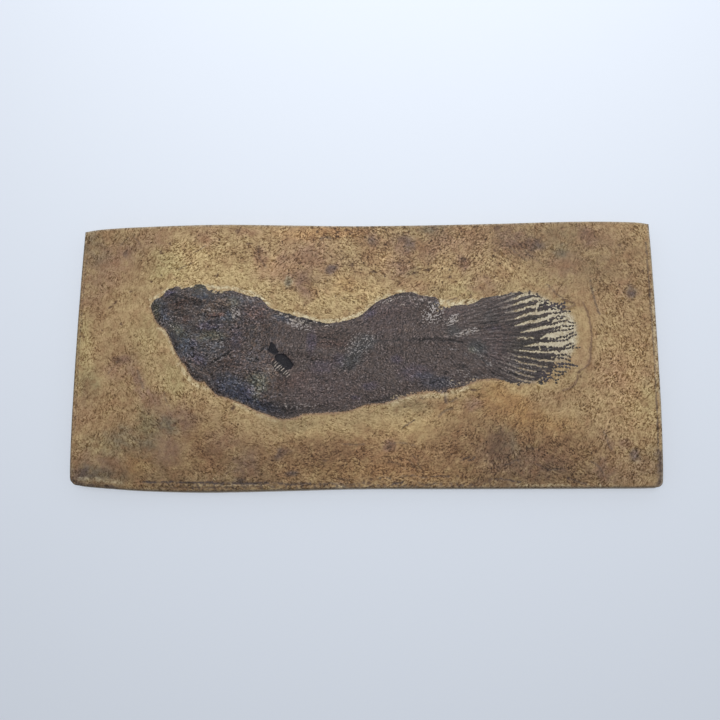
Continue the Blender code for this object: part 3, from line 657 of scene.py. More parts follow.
def surroundLayers(x, y, wx, wy):
    # the halo round the fish, blotches, the ground under the film and the tail, painted lighter above and in
    # shade below, a painted highlight along the fish's back and a painted shadow under its belly
    yield "straw", 0.4 * smoothStep(-6, -1, loopDepth(wx, wy, fishEnvelope, 9))
    for size, seed, amount in ((9, 31, 0.3), (4.2, 32, 0.3), (2.2, 33, 0.25)):
        blotch = softNoise(x, y, size, seed)
        yield "rust", amount * smoothStep(0.1, 0.8, blotch)
        yield "straw", amount * smoothStep(0.1, 0.8, -blotch)
    inner = loopDepth(x, y, fishEnvelope, 3)
    yield "grey", 0.75 * smoothStep(0.1, 1.1, inner) * fade(plate, "greyBed", x)
    fan = loopDepth(x, y, fanArea, 6) + 0.8 * cloud(x, y, 3, 35)
    # the tail's pale ground, painted lighter on its upper half and in painted shade on its lower half
    upper = fade(plate, "litTail", y)
    yield "chalk", 0.92 * smoothStep(-1.6, 1.6, fan) * upper
    yield "dusk", 0.9 * smoothStep(-1.6, 1.6, fan) * (1 - upper)
    yield "umber", (0.3 * smoothStep(0.3, 0.8, softNoise(x, y, 1.1, 37))
                    * smoothStep(-1, 1, fan))
    # a painted highlight in cream along the fish's back, where the resin's edge faces the light
    back = stroke(wx * 0.4 + x * 0.6, wy * 0.4 + y * 0.6, fish["back"], 0.3, 1.2)
    yield "cream", 0.75 * (back * smoothStep(-0.5, 0.4, softNoise(x, y, 2.6, 36)))
    # a painted shadow in plum just under the belly
    under = routeDistance(x, y, smoothRoute(fish["belly"]), 4) + 0.6 * softNoise(x, y, 1.5, 38)
    yield "plum", 0.6 * smoothStep(1.4, 0.2, under)


def markLayers(x, y):
    # spots, dark lines, glints painted as highlights, dirt on the ground front strip and the shade of the
    # varnish edges
    sx, sy = x + 0.4 * softNoise(x, y, 1.6, 41), y + 0.4 * softNoise(x, y, 1.6, 42)
    for spot in plate["spots"]:
        yield "bark", 0.8 * oval(sx, sy, spot, 0.45)
    broken = 0.65 + 0.35 * np.sign(softNoise(x, y, 2.1, 43) + 0.25)
    for halfWidth, strength, route in plate["lines"]:
        yield "coal", strength * broken * stroke(sx, sy, route, halfWidth * 0.4, halfWidth * 1.7)
    broken = 0.7 + 0.3 * np.sign(softNoise(x, y, 2.4, 44) + 0.2)
    # the glints: painted highlights in cream
    for halfWidth, strength, route in plate["glints"]:
        yield "cream", strength * broken * stroke(sx, sy, route, halfWidth * 0.5, halfWidth * 1.8)
    strip = fade(plate, "dirtFront", y) * fade(plate, "dirtLeft", x) * fade(plate, "dirtRight", x)
    yield "coal", 0.6 * strip * smoothStep(0.08, 0.4, softNoise(x, y, 1.5, 46))
    for route in plate["varnishEdges"]:
        yield "umber", 0.7 * stroke(sx + 0.35, sy - 0.2, route, 0.2, 0.8)


def rimLayers(x, y, depth):
    # the arrises: painted highlight at the back and right, where they face the light, and painted shade
    # elsewhere
    rim = 1 - smoothStep(0.3, 1.4, depth + 0.3 * cloud(x, y, 5, 45))
    lit = np.clip(fade(plate, "litBack", y) + fade(plate, "litRight", x), 0, 1)
    yield "arrisShade", 0.55 * rim * (1 - lit)
    yield "arrisHighlight", 0.65 * rim * lit


def plateTint(x, y, depth, wall):
    colours = plate["colours"]
    wx = x + 2.4 * cloud(x, y, 12, 11) + 1.5 * cloud(x, y, 4.5, 12) + 0.8 * softNoise(x, y, 1.9, 13)
    wy = y + 2.4 * cloud(x, y, 12, 21) + 1.5 * cloud(x, y, 4.5, 22) + 0.8 * softNoise(x, y, 1.9, 23)
    tint = np.tile(np.array(plate["base"], float), (len(x), 1))
    tint = paint(tint, colours, stainLayers(x, y, wx, wy))
    for *spot, change in plate["tones"]:
        tint *= 1 + change * oval(wx, wy, spot, 0.9)[:, None]
    tint = paint(tint, colours, surroundLayers(x, y, wx, wy))
    tint = paint(tint, colours, markLayers(x, y))
    tint = paint(tint, colours, rimLayers(x, y, depth))
    # the walls: their colour with painted shade in it, and faint streaks
    side = np.array(plate["wall"]) * (1 + 0.16 * cloud(x * 0.6 + y * 0.6, wall * 3, 6, 51))[:, None]
    return np.where(wall[:, None] > 0, side, tint)


def plateRelief(x, y, depth):
    # mm over the plate's face
    arris = plate["arris"] * (1 + 0.25 * cloud(x, y, 9, 61))
    height = -arris + np.sqrt(np.maximum(arris ** 2 - np.maximum(arris - depth, 0) ** 2, 0))
    (ax, ay), (bx, by) = plate["crease"]
    length = math.hypot(bx - ax, by - ay)
    beyond = ((x - ax) * (by - ay) - (y - ay) * (bx - ax)) / length
    height -= np.maximum(beyond, 0) * plate["grindSlope"]
    height += 0.05 * cloud(x, y, 22, 62) + 0.02 * cloud(x, y, 3.5, 63)
    for route in plate["varnishEdges"]:
        height += plate["varnishRise"] * stroke(x, y, route, 0.1, 0.9)
    for halfWidth, strength, route in plate["lines"]:
        height -= plate["lineDepth"] * strength * stroke(x, y, route, 0, halfWidth * 2)
    for spot in plate["spots"]:
        height -= plate["spotDepth"] * oval(x, y, spot, 0.5)
    return height


def refineNear(work):
    # halves the cells along the fine lines and spots
    routes = [smoothRoute(route) for route in plate["varnishEdges"] + [fish["back"]]]
    routes += [smoothRoute(route) for _, _, route in plate["lines"] + plate["glints"]]
    centres = np.array([face.calc_center_median()[:2] for face in work.faces])
    x, y = centres.T
    near = np.zeros(len(x), bool)
    for route in routes:
        near |= routeDistance(x, y, route, 2) < 1.1
    for cx, cy, halfLong, halfWide, turn in plate["spots"]:
        near |= oval(x, y, (cx, cy, halfLong + 0.6, halfWide + 0.6, turn), 0.3) > 0.3
    work.faces.ensure_lookup_table()
    edges = dict.fromkeys(edge for i in np.nonzero(near)[0] for edge in work.faces[i].edges)
    bmesh.ops.subdivide_edges(work, edges=list(edges), cuts=1, use_grid_fill=True)


def plateMesh():
    # the flat lattice with its walls, z being mm from the edge on the face, and minus the mm
    # below the face on the walls
    x, y, depth = plateFace()
    columns, rows = x.shape
    work = bmesh.new()
    lattice = [[work.verts.new((x[i, j], y[i, j], depth[i, j])) for j in range(rows)]
               for i in range(columns)]
    for i in range(columns - 1):
        for j in range(rows - 1):
            work.faces.new((lattice[i][j], lattice[i + 1][j], lattice[i + 1][j + 1],
                            lattice[i][j + 1]))
    refineNear(work)
    closeBelow(work, [-row for row in plate["wallRows"] + [faceHeight]])
    return work


def makePlate():
    piece = meshPiece("resinPlate", plateMesh(), resinFinish())
    mesh = piece.data
    x, y, depth = getPlaces(mesh).T
    wall, depth = np.maximum(-depth, 0), np.maximum(depth, 0)
    # the walls carry faint saw ripples, and their lower arris is rounded in
    arris = plate["bottomArris"] * smoothStep(faceHeight - 0.9, faceHeight, wall)
    ripple = np.where(wall > 0, 0.06 - 0.06 * cloud(x + y, wall * 4, 5, 81), 0)
    shrink = plate["fit"] - (arris + np.maximum(ripple, 0)) / plate["meanReach"]
    z = np.where(wall > 0, faceHeight - wall, faceHeight + plateRelief(x, y, depth))
    setPlaces(mesh, x * shrink, y * shrink, z)
    setTint(mesh, plateTint(x, y, depth, wall))
    lie = lieField(x, y, plate["brush"], 0.95, 7, 71)
    lie[wall > 0] = (0.7, 0.7, 0)
    setDirection(mesh, "brush", lie)
    strength = 1 + 0.15 * cloud(x, y, 12, 91)
    for cx, cy, halfLong, halfWide, change in plate["marks"]:
        strength += change * oval(x, y, (cx, cy, halfLong, halfWide, 0), 0.6)
    strength[wall > 0] = plate["wallMarks"]
    setNumber(mesh, "marks", np.clip(strength, 0.2, 2))
    mesh.shade_smooth()
    mesh.set_sharp_from_angle(angle=math.radians(plate["sharpAngle"]))
    return piece


def resinFinish():
    material, shader, start = newMaterial("castResin")
    place = start.place()
    bent = place.shifted(place.noise(0.3, 2, out="Color").shifted((-0.5, -0.5, -0.5)).scaled(3))
    marks = start.stored("marks", "Fac") * (place.noise(0.13, 2, 0.6).fade(0.36, 0.62) * 0.6 + 0.65)
    strokes = bent.drawnOut(start.stored("brush", "Vector"), plate["brushSteps"], 1.45)
    grain = place.noise(1.35)
    crumbs = bent.noise(0.8)
    blotch = bent.noise(0.45, 2, 0.6)
    curls = (bent.noise(0.62, 1, 0.6) - 0.5).maths("ABSOLUTE").fade(0.04, 0.006)
    curls = curls * place.noise(0.5).fade(0.48, 0.56)
    cells = {"Vector": bent, "Scale": 0.55, "Randomness": 1.0}
    speckDistance = start.node("TexVoronoi", {}, cells, "Distance")
    speckColour = start.node("TexVoronoi", {}, cells, "Color")
    chance = start.node("SeparateColor", {}, {"Color": speckColour}, 0)
    speck = speckDistance.fade(0.32, 0.2) * (chance * marks).fade(0.74, 0.84)
    colour = start.stored("tint", "Color")
    for shade, mask in (("dark", strokes.fade(0.485, 0.37) * marks * 0.8),
                        ("light", strokes.fade(0.515, 0.63) * marks * 0.4),
                        ("dark", grain.fade(0.46, 0.28) * marks * 0.55),
                        ("light", grain.fade(0.54, 0.72) * marks * 0.4),
                        ("speck", speck * 0.75),
                        ("curl", curls * marks * 0.5),
                        ("crumb", crumbs.fade(0.33, 0.25) * marks * 0.55),
                        # blotches: painted shade in their low parts, painted highlight on their high parts
                        ("blotchShade", blotch.fade(0.5, 0.36) * marks * 0.35),
                        ("blotchHighlight", blotch.fade(0.5, 0.64) * 0.5)):
        colour = colour.blended(plate["shades"][shade], mask, "MULTIPLY")
    height = strokes + grain * 0.3 - speck * 0.2
    finish(shader, plate, colour, grain * 0.2, height)
    return material


# The fish: its outline, skull, skin and fin rays.

fish = dict(
    back=[(-112, 26.5), (-111.5, 28), (-110.5, 29.7), (-109, 30.3), (-107, 31.3), (-105.5, 33),
          (-104.5, 34.5), (-103, 35.5), (-101, 36.2), (-99, 37), (-97, 36.6), (-95.5, 35.7), (-93, 36.7),
          (-91, 36.3), (-89.5, 37), (-88.5, 38), (-85.5, 38), (-83, 37), (-82.5, 35.5), (-80.5, 35),
          (-76, 34.2), (-72, 34.3), (-70, 34.8), (-67, 33.8), (-64, 32.8), (-61, 31.7), (-58.5, 31),
          (-56, 31.2), (-54, 30.2), (-52, 28.5), (-50, 26.5), (-48, 24.5), (-45, 23.5), (-42, 22.5),
          (-38, 21.5), (-35, 20.5), (-30, 19.3), (-27, 18.5), (-24, 17.5), (-20, 16.8), (-17, 16.5),
          (-13, 16.8), (-10, 17.5), (-6, 18.3), (-3, 19.5), (0, 21), (2, 23), (4, 24.7), (6, 26.5), (8, 28),
          (10, 28.8), (13, 30), (16, 31.3), (19, 32.2), (22, 32.5), (26, 32.8), (29, 31.5), (33, 30.5),
          (38, 30), (40, 27.5), (41, 25), (44, 24.5), (48, 25.3), (52, 25.7), (55, 25.5), (57, 26.3),
          (60, 27.5), (62, 29), (66, 29.9), (69, 30), (72, 30.4)],
    skinEnd=[(74.5, 31), (77, 31.6), (80, 31.8), (84, 32), (87, 32.1), (90, 31), (92.5, 29.8), (95, 28.2),
             (97.5, 27), (98, 24.5), (96, 22), (95.4, 19), (96, 16), (96.5, 13), (97, 10.6), (95.6, 8),
             (96, 5), (98, 2.6), (98.6, -1), (98.6, -4), (99, -7), (97.6, -9.6), (96.6, -12.4), (96, -14.4),
             (94, -16.2), (91, -16.8), (89.8, -15.6), (88, -15.9), (85, -16.3), (82, -16), (79.6, -16.6),
             (77, -16), (75, -15.6), (72.6, -14.6)],
    belly=[(70, -13.9), (66, -13.5), (62, -13.7), (58, -14.7), (55, -16), (52, -17.5), (48, -18.3),
           (44, -19), (43, -20.5), (40, -20.5), (36, -20), (32, -20), (28, -20.8), (24, -22), (20, -23.5),
           (16, -24.5), (12, -25.7), (6, -26.3), (2, -26.7), (-2, -28), (-5, -29.3), (-9, -30.3),
           (-14, -30.7), (-20, -31), (-25, -31.2), (-30, -31.5), (-33, -32.8), (-38, -33.8), (-43, -33.8),
           (-46, -32.8), (-49, -31.5), (-55, -29.5), (-58, -28), (-61, -26.5), (-64, -25), (-67, -24),
           (-70, -22.8), (-73, -22), (-75, -21.5), (-77, -19.8), (-79, -17.8), (-81, -15.5), (-82, -14.3),
           (-84, -14.2), (-86.5, -13.5), (-88.5, -12), (-90, -10.2), (-91, -8), (-92, -6), (-94, -4),
           (-96, -1.5), (-97.5, 1), (-99, 4), (-100.5, 7.5), (-102, 10.5), (-103.5, 13.3), (-105, 14.5),
           (-107, 16), (-108.5, 17.5), (-109.5, 19.5), (-110.5, 22), (-112, 25)],
    fanEdge=[(76, 32), (82, 32.6), (88, 32.8), (95, 29.4), (99, 27.4), (104.6, 26.8), (108.5, 21),
             (111.4, 15), (112, 8), (111.8, 0), (110.4, -7.4), (106, -11), (100.6, -15.6), (95, -17.2),
             (88, -17.3), (79, -17.2)],
    # the ground that shows between the tail's rays
    fanArea=[(76, 30.5), (82, 31.4), (88, 31.8), (93, 30), (97, 27.2), (103, 24), (107, 21.4), (109.6, 16),
             (110.6, 9), (109.4, 3), (107, -1.6), (104, -4.8), (99, -5.2), (96, -9), (91, -14.4), (86, -16),
             (78, -15.6), (74, -10), (80, 4), (76, 16)],
    cell=0.345,
    skirt=0.7,               # mm that the mesh runs on, out of sight, under the resin's face
    sink=0.2,                # mm from the underside of the fish's solid down to the mesh's
    topGap=0.02,             # mm that the relief stays under the top of that solid
    softTop=0.4,             # mm below that where the relief starts to flatten
    edgeRise=0.2,
    crownRise=0.95,
    crownMargin=7.0,         # mm from the outline in to the full height
    jointSpacing=1.7,        # mm along a ray
    # where one look passes into the next, between two places in mm along the fish or across it
    fades=dict(
        crumpledHead=(-36, -52), brightHead=(-34, -50), dullHead=(-40, -60), roughTail=(36, 52),
        stripedTail=(40, 56), combedTail=(40, 60), stripedFan=(56, 70), flatFan=(62, 78),
        dimFan=(68, 88), fan=(70, 84), openStrips=(73, 80), upperStrips=(-8, 4),
        jointedTips=(94, 98), brokenBelow=(-4, -12), brokenRight=(-60, -30)),
    # bare cream strips between the tail's rays: x, y, half width
    gaps=[
        [(70, 28.2, .1), (73, 29.3, .2), (76.4, 30.3, .25), (79, 31.2, .3)],
        [(69, 25, .1), (73, 26.5, .25), (75.4, 27.4, .4), (77.8, 28.4, .55), (80, 28.9, .6),
         (82, 29.9, .65), (84.7, 30.8, .7), (87, 31.2, .8), (89.4, 31.6, 1)],
        [(72, 23.4, .1), (75, 24.2, .4), (77.4, 24.9, .55), (80, 25.6, .6), (82.3, 26.5, .65),
         (84.7, 27, .7), (86.8, 27.9, .8), (88.6, 28.5, .8), (91, 28.4, .7), (94, 28.6, .8)],
        [(74, 21, .1), (76.8, 21.5, .4), (79.2, 22, .55), (81.2, 22.5, .65), (83.4, 22.9, .6),
         (84.4, 23.7, .4)],
        [(84.4, 23.8, .3), (86, 24, .6), (88.4, 24.2, .65), (90, 24.8, .5), (91, 25.7, .5),
         (92.6, 26.2, .35), (94.6, 26.9, .4), (97, 26.8, .3)],
        [(89.8, 21.4, .5), (90.2, 23, .35), (90.4, 24.8, .3)],
        [(74, 17, .1), (78, 17.6, .2), (80.6, 18.4, .4), (82.6, 19.3, .5), (84.7, 20, .65),
         (86.8, 20.5, .7), (89.5, 20.8, .85), (91.6, 20.8, .8), (93.7, 21.3, .6),
         (95.6, 21.5, .4), (97.4, 21.1, .4), (99.2, 21.8, .35), (102.4, 22, .35)],
        [(79, 14.2, .1), (81.6, 14.7, .4), (83, 15.1, .55), (84.7, 15.7, .65), (86.8, 16.2, .7),
         (88.9, 16.2, .75), (91, 16.8, .85), (93, 17.4, .85), (94.7, 17.8, .65),
         (96.5, 18.4, .6)],
        [(81.6, 10.6, .1), (83.7, 11.1, .35), (85.4, 11.4, .55), (87.5, 11.8, .7),
         (89.6, 12.2, .75), (91.6, 12.6, .75), (93.7, 13.2, .75), (95.8, 13.6, .7),
         (98, 14.1, .7)],
        [(80, 7.6, .25), (83, 8, .3), (84.4, 7, .25), (86, 8, .15), (88, 7.4, .3)],
        [(91.6, 7.2, .1), (93, 7.8, .4), (94.7, 8.7, .7), (96.5, 9.1, .9), (98.5, 9.2, .9)],
        [(83, 3.2, .1), (85.4, 3.6, .4), (87.5, 3.9, .55), (89.5, 4.1, .7), (91.6, 4.4, .75),
         (93.7, 4.3, .8), (95.8, 4.1, .8), (98, 4.2, .8)],
        [(78, 1.4, .1), (80.9, 1.1, .25), (83.3, .9, .25), (85.4, .6, .3), (87.5, .3, .45),
         (90.2, .4, .5), (93, 0, .4), (94.7, 0, .45), (97.2, .2, .45), (99.6, .5, .5)],
        [(90.9, 2.9, .2), (91.4, 1.6, .25)], [(95.2, 3, .25), (95.4, 1.6, .2)],
        [(74, .2, .1), (76.7, -.9, .2), (79.2, -2, .25), (81.6, -2.3, .25), (84, -2.2, .3),
         (85.4, -2.7, .3), (87.5, -3.1, .35), (89.5, -3.7, .3), (91.6, -4.2, .5),
         (93.7, -4.1, .6), (95.8, -4.4, .55), (98, -4.6, .5)],
        [(72, -1.8, .1), (75.7, -3.1, .25), (77.8, -3.6, .25), (79.9, -4.5, .3),
         (81.9, -5.4, .3), (84.4, -6, .3), (86.8, -6.2, .35), (88.6, -6.4, .4),
         (90.2, -6.9, .4), (92.3, -7.5, .4), (94.4, -7.5, .3)],
        [(70, -4.4, .1), (75.4, -6.3, .3), (77.4, -6.9, .3), (79.5, -7.9, .35),
         (81.6, -8.6, .4), (83.7, -9, .4), (85.7, -9.4, .4), (87.6, -9.8, .35), (89, -10, .1)],
        [(70, -6.8, .1), (75.4, -8.8, .25), (77.4, -9.4, .35), (79.5, -10.5, .35),
         (81.6, -11.3, .35), (83.7, -12, .35), (85.7, -12.4, .35), (88, -13, .25)],
        [(71, -9.6, .1), (73.6, -11, .2), (75.7, -12, .25), (77.8, -12.8, .35),
         (79.9, -13.6, .4), (81.9, -14.3, .4), (84, -14.8, .4), (86.1, -15.2, .5),
         (88.4, -15.2, .6), (90, -14.6, .3)],
        [(98.8, -.6, .2), (98.9, -2, .25), (98.8, -3.6, .2)],
        [(98, -8.8, .2), (98.4, -10.4, .35), (97.8, -12, .3)]],
    # loose ends of the rays: x, y, half width
    rayEnds=[
        [(94.6, 26.4, .5), (98.2, 25.8, .6), (100.6, 25.4, .6), (103.4, 25.6, .5),
         (104.6, 26.4, .4)],
        [(94.6, 25, .6), (97.4, 24.7, .7), (100, 24.4, .65), (103, 24.6, .5), (105, 25.6, .4)],
        [(94, 23.6, .7), (97, 23.2, .7), (100.4, 23, .6), (103.6, 23.3, .5), (105.2, 24.2, .4)],
        [(95, 27.8, .35), (96.6, 27.2, .3)],
        [(94.4, 20.1, .5), (96.5, 20.4, .45), (98.5, 20.7, .4), (100.6, 20.9, .4),
         (102.6, 20.9, .35), (104, 21.5, .3)],
        [(102.4, 22.2, .3), (104.6, 21.8, .35), (107.6, 21.4, .25)],
        [(97, 17.4, .5), (98.4, 18, .4), (100, 18.1, .35), (100.8, 19.2, .3)],
        [(101.4, 19, .35), (104.4, 18.7, .35)], [(100.6, 17.4, .3), (103.4, 18, .3)],
        [(95.4, 14.8, .6), (96.4, 15.6, .5), (97.4, 16.4, .45), (98.4, 17.4, .3)],
        [(96.5, 14.6, .4), (98.5, 15.1, .45), (100.6, 15.6, .45), (101.9, 16.2, .4),
         (104.1, 16.3, .35), (105.6, 17, .25)],
        [(106, 16.2, .25), (108.4, 15.4, .25), (110.4, 15.6, .2)],
        [(95.8, 11.8, .7), (98, 12.3, .6), (100, 12.9, .45), (101.5, 13.5, .4),
         (102.9, 14.1, .4), (104.6, 13.7, .35), (107, 13.8, .3), (109.6, 13.9, .25)],
        [(97, 10.8, .5), (99, 11, .5), (100.8, 11.5, .4), (102.9, 11.5, .35), (105.9, 11.8, .3),
         (108.4, 12.5, .25)],
        [(96.8, 7.3, .35), (99.2, 7, .35), (101, 7.7, .4), (102.9, 8.2, .4), (104.2, 8, .35),
         (105.9, 9.1, .35), (107.7, 10.1, .35), (109.6, 10.5, .25)],
        [(95, 5.9, .5), (97, 6.1, .45), (99.3, 6, .4), (101.9, 6.1, .4), (104.4, 6.4, .4),
         (105.9, 7.1, .35), (107.6, 8.4, .35), (110.2, 9.3, .25)],
        [(97, 2.1, .85), (100, 1.9, .8), (102.6, 1.9, .6), (104.1, 3.1, .5), (105.9, 4.2, .45),
         (108, 4.7, .3)],
        [(103, 1.6, .35), (105.9, 2.1, .35), (107.6, 2.9, .3), (109.4, 3.8, .2)],
        [(108, 2, .25), (110, 2.3, .25), (112.2, 2.6, .2)], [(100.6, .5, .3), (101.2, .4, .3)],
        [(98, -1.5, .8), (99.6, -1.6, .4), (102.4, -1.3, .4), (104.6, -1.4, .4),
         (106.4, -2.6, .35)],
        [(98, -2.6, .6), (99.8, -2.8, .4), (102.5, -3, .35), (104.8, -3.8, .35),
         (106.6, -4.6, .25)],
        [(98, -6.2, .8), (101, -6.1, .6), (103.9, -6, .5), (105.9, -6.3, .5), (107.7, -6.8, .45),
         (110, -7.3, .3)],
        [(96.4, -7.6, .5), (98.6, -7.8, .45), (101, -7.5, .35), (103.6, -7.7, .35),
         (106.4, -8.3, .25)],
        [(98.6, -9.6, .4), (101, -10.2, .35), (104.2, -10.2, .3)],
        [(97.4, -11.4, .4), (100.4, -11.9, .35), (102.8, -11.3, .3)],
        [(96, -13, .5), (98, -14.4, .4), (100.2, -14, .3)], [(98.8, -15.8, .3), (99.6, -15.8, .3)],
        [(81.2, 31, .5), (81.6, 32, .4)], [(86.6, 31.4, .4), (87, 32.3, .35)],
        [(90, 29.8, .45), (90.6, 30.8, .4)], [(92, 29.5, .35), (93, 29, .3)],
        [(79.6, -16.5, .4), (80, -16.9, .3)], [(85.8, -16, .4), (86.6, -16.1, .3)],
        [(107.6, 26.3, .3), (109.6, 25.4, .3), (110, 24.4, .2)]],
    # skull bones and muscle blocks: x, y, half length, half width, turn, rise in mm
    lumps=[
        (-106, 26, 7, 5, 40, 0.6), (-97, 31.5, 8, 4, 12, 0.7), (-86, 32.5, 6, 4.5, 0, 0.8),
        (-71, 28.5, 9, 5, -12, 0.7), (-80, 21, 6.5, 3.5, 20, -0.45), (-80, 15, 7, 2.6, 12, 0.7),
        (-83, 2.5, 10, 5.5, -50, 0.85), (-61, 12, 9, 12, 0, 0.65), (-64, -7, 9, 5.5, -35, 0.65),
        (-64, -19, 11, 4.5, -28, 0.7), (-50, -20, 6, 8, 20, 0.5), (-40.5, -4, 6.5, 3.6, -42, -0.6),
        (-18, -8, 26, 14, 4, 0.3), (36, 4, 20, 11, 6, 0.2)],
    # bars of the skeleton: half width, rise in mm, route
    ridges=[
        (2.8, 0.65, [(-108, 22), (-102, 12.5), (-96, 4), (-89, -5)]),
        (2.8, 0.7, [(-93, -3.5), (-86, -11), (-77, -16.5), (-67, -21)]),
        (2.8, 0.5, [(-64, 30), (-54, 25), (-48.5, 14), (-50, 2), (-56, -7)]),
        (2.6, 0.45, [(-49, 8), (-45, -1), (-41.5, -10), (-42, -20), (-46, -29)]),
        (2.8, 0.35, [(-40, 3), (-18, -1), (2, 1), (22, 6), (44, 6.5), (62, 5)]),
        (2.4, 0.25, [(-2, 17), (10, 22.5), (24, 24), (38, 21)])],
    skin=(82, 72, 69),
    colours=dict(
        black=(22, 20, 22), night=(14, 13, 22), slate=(68, 72, 74), steel=(90, 94, 104),
        haze=(126, 124, 124), moss=(108, 110, 94), olive=(74, 72, 58), mauve=(90, 75, 76),
        violet=(76, 68, 84), umber=(66, 53, 47), tan=(132, 112, 96), russet=(102, 74, 66),
        bone=(196, 187, 174), dust=(116, 101, 90), blue=(52, 58, 74), coal=(42, 38, 39)),
    hueSwing=(1.0, 0.1, -0.9),                      # how hue noise moves red, green and blue
    wornEdge=(176, 165, 140),                       # where the film thins out
    # colours of the bare strips: place along the fish, colour
    stripColours=[(68, (112, 102, 98)), (75, (142, 132, 122)), (84, (178, 170, 149))],
    smoothBone=(-85.5, 33, 5.4, 3.6, 0),            # oval on the skull, glossier than the rest
    # colour patches by colour: x, y, half length, half width, turn, strength
    patches=dict(
        slate=[(-86, 18, 26, 24, -30, .3), (-108, 26, 3, 4, 0, .6), (-94, 7, 7, 5, -50, .6),
               (-85.5, 33, 5.4, 3.6, 0, .4), (0, 5, 7, 4.4, 20, .6), (-6, -4, 6, 4, 30, .6),
               (59, 3, 4.4, 3.4, 0, .6), (-68, 21, 5, 5, 0, .4), (-57.5, -2.4, 3.4, 1.6, -10, .7),
               (47, 11.6, 3.4, 3, 0, .5), (62, 1, 4, 3, 0, .4), (66, 18, 4, 2.4, 0, .3)],
        steel=[(-103.5, 20.5, 3, 3.5, 30, .5), (-73, 21, 4.5, 3, 20, .5), (-80, 2, 9, 5, -10, .15),
               (-67, -14, 5, 2, -30, .4), (-43, 19.4, 4.5, 1.6, -22, .5), (-75, 4.8, 3, 1.8, 0, .5),
               (37, 26, 3.4, 1.4, 0, .45), (-66, 28.6, 4, 3, 0, .3), (-58, 27, 4, 3, -20, .3)],
        moss=[(-97, 13, 4.5, 2.2, -40, .5), (-68, 27.6, 3.4, 3, 0, .45), (-76, 9.6, 6, 2, -4, .5),
              (-54, -14.6, 5.4, 4.4, -10, .7), (-55, -22.6, 2, 3, 20, .5), (-84, 8.6, 3, 1.6, 0, .4),
              (57, 1.2, 2, 1.5, 0, .4), (-52.6, -19, 3.6, 1.4, 20, .5)],
        olive=[(-110, 24, 2.4, 6, 14, .7), (-87, 36.8, 4, 1.4, 0, .7), (90.6, -15.8, 2, 1, 0, .7),
               (-80, 11, 5, 2, -10, .5), (80, 2.4, 6, 3, 0, .3), (84, 6.4, 6, 2.4, 0, .35),
               (88.6, 18, 5, 1.4, 10, .5), (-66, -24, 3, 1.4, -20, .4)],
        umber=[(-94, 24.6, 9, 6, 0, .6), (-94, 30, 7, 2, 0, .5), (-76, 25, 9, 4, 0, .35),
               (-90, -6, 5, 2.6, -50, .5), (-72, -5, 7, 3, 10, .5), (-14, 8, 12, 5, -4, .45),
               (34, 22, 4, 5, 0, .6), (-43, -16, 7, 4, 0, .35), (-46, -3, 2.4, 3, 0, .5),
               (-62, 20, 5, 6, 0, .25), (-52, 12, 4, 6, 0, .25), (-77, -14, 2, 4, 20, .6)],
        russet=[(-93, 19, 4, 2, 0, .3), (-77, 20.9, 4.4, 1.3, 6, .65), (-93, -3.5, 3.4, 1, -48, .4),
                (-97, 27, 4, 2, 0, .25), (-16, 5, 9, 2, 0, .25), (-56, 22, 5, 4, -30, .3),
                (-35, -14, 8, 4, 20, .25), (-47, -3.6, 1.4, 1.4, 0, .6)],
        tan=[(-79.5, 23.4, 4.6, 1.3, -8, .5), (-74, 27.6, 4, 1.7, -14, .55), (-47, -9.5, 4, 3.4, 0, .35),
             (-66, .6, 5, 2.4, 0, .25), (82, 7.6, 5, .9, 4, .4), (-60, 5, 4, 3, 0, .2),
             (22.6, 13, 1, 2, 0, .3), (-80, 26, 3, 1, 10, .3)],
        mauve=[(-66, 9, 6, 7, 0, .35), (-61, -3, 12, 5, 5, .25), (14, 24, 12, 5, 10, .3),
               (46, 21.6, 8, 2.6, 0, .4), (70, -1, 7, 4, -10, .4), (70, 8, 9, 5, 0, .3),
               (-58, 22, 8, 6, 0, .3), (-20, -18, 16, 8, 0, .3), (12, 16, 10, 6, 0, .25)],
        violet=[(-102.6, 33, 3, 2, 20, .7), (-79.5, 15.4, 6.4, 2.3, 6, .7), (-86, -2, 5, 3, -30, .6),
                (-60, -20, 4.4, 3.6, -30, .6), (-21, -7, 6, 3.4, 0, .4), (18, -3.5, 3, 2.2, 0, .5),
                (4, -17, 4, 2, 10, .5), (4, 21, 3.5, 2, 40, .6), (100, 24.4, 6, 2.2, 0, .5),
                (94, -12.4, 5, 2.6, -10, .35), (105, -6.6, 5.6, 1.4, 0, .6), (27, -10, 8, 4, 0, .4),
                (-66, 7, 3, 6, 0, .35), (68, 12.8, 4, 1, 4, .4), (-88, 5, 2, 3, 0, .5),
                (-26.5, 6, 2.4, 5.4, 0, .6), (-12, -3.4, 3, 3, 0, .4), (-3.4, -23.2, 2.4, 1, 0, .5)],
        blue=[(-84.6, 30.8, 3, .9, 0, .6), (-92, 3, 4, 4.4, -40, .5), (-67, -17.6, 10.5, 5.4, -24, .7),
              (-50, -28, 8, 3, -16, .75), (39, -15.6, 8, 2.8, 4, .5), (-104, 24, 2, 4, 0, .3),
              (-41, 19, 4, 1.5, -20, .4), (-60, -24, 4, 2, -20, .5), (32, -12, 5, 2, 0, .4)],
        haze=[(-91, 2, 9, 8, -50, .16), (-51, -2, 9, 9, 0, .14), (-85, 24, 9, 4, -5, .14)],
        coal=[(-66, 5, 7, 6, 0, .22), (-74, 5, 6, 5, 0, .12), (-112, 27, 1.6, 5, -10, .5),
              (-99, 8, 1.8, 6, 32, .5), (-76.6, 16.8, 4.4, 1, 0, .6), (-42, -30, 8, 3, 0, .5),
              (-30, -29.4, 12, 1.6, 0, .3), (-37, 20.2, 9, 1.3, -14, .85), (-25, 16.6, 7, 1.2, -8, .7),
              (20, 6.8, 20, .8, 3, .4), (46, 6.2, 12, 1, -4, .45), (-98, 31, 4, 1.2, 0, .6),
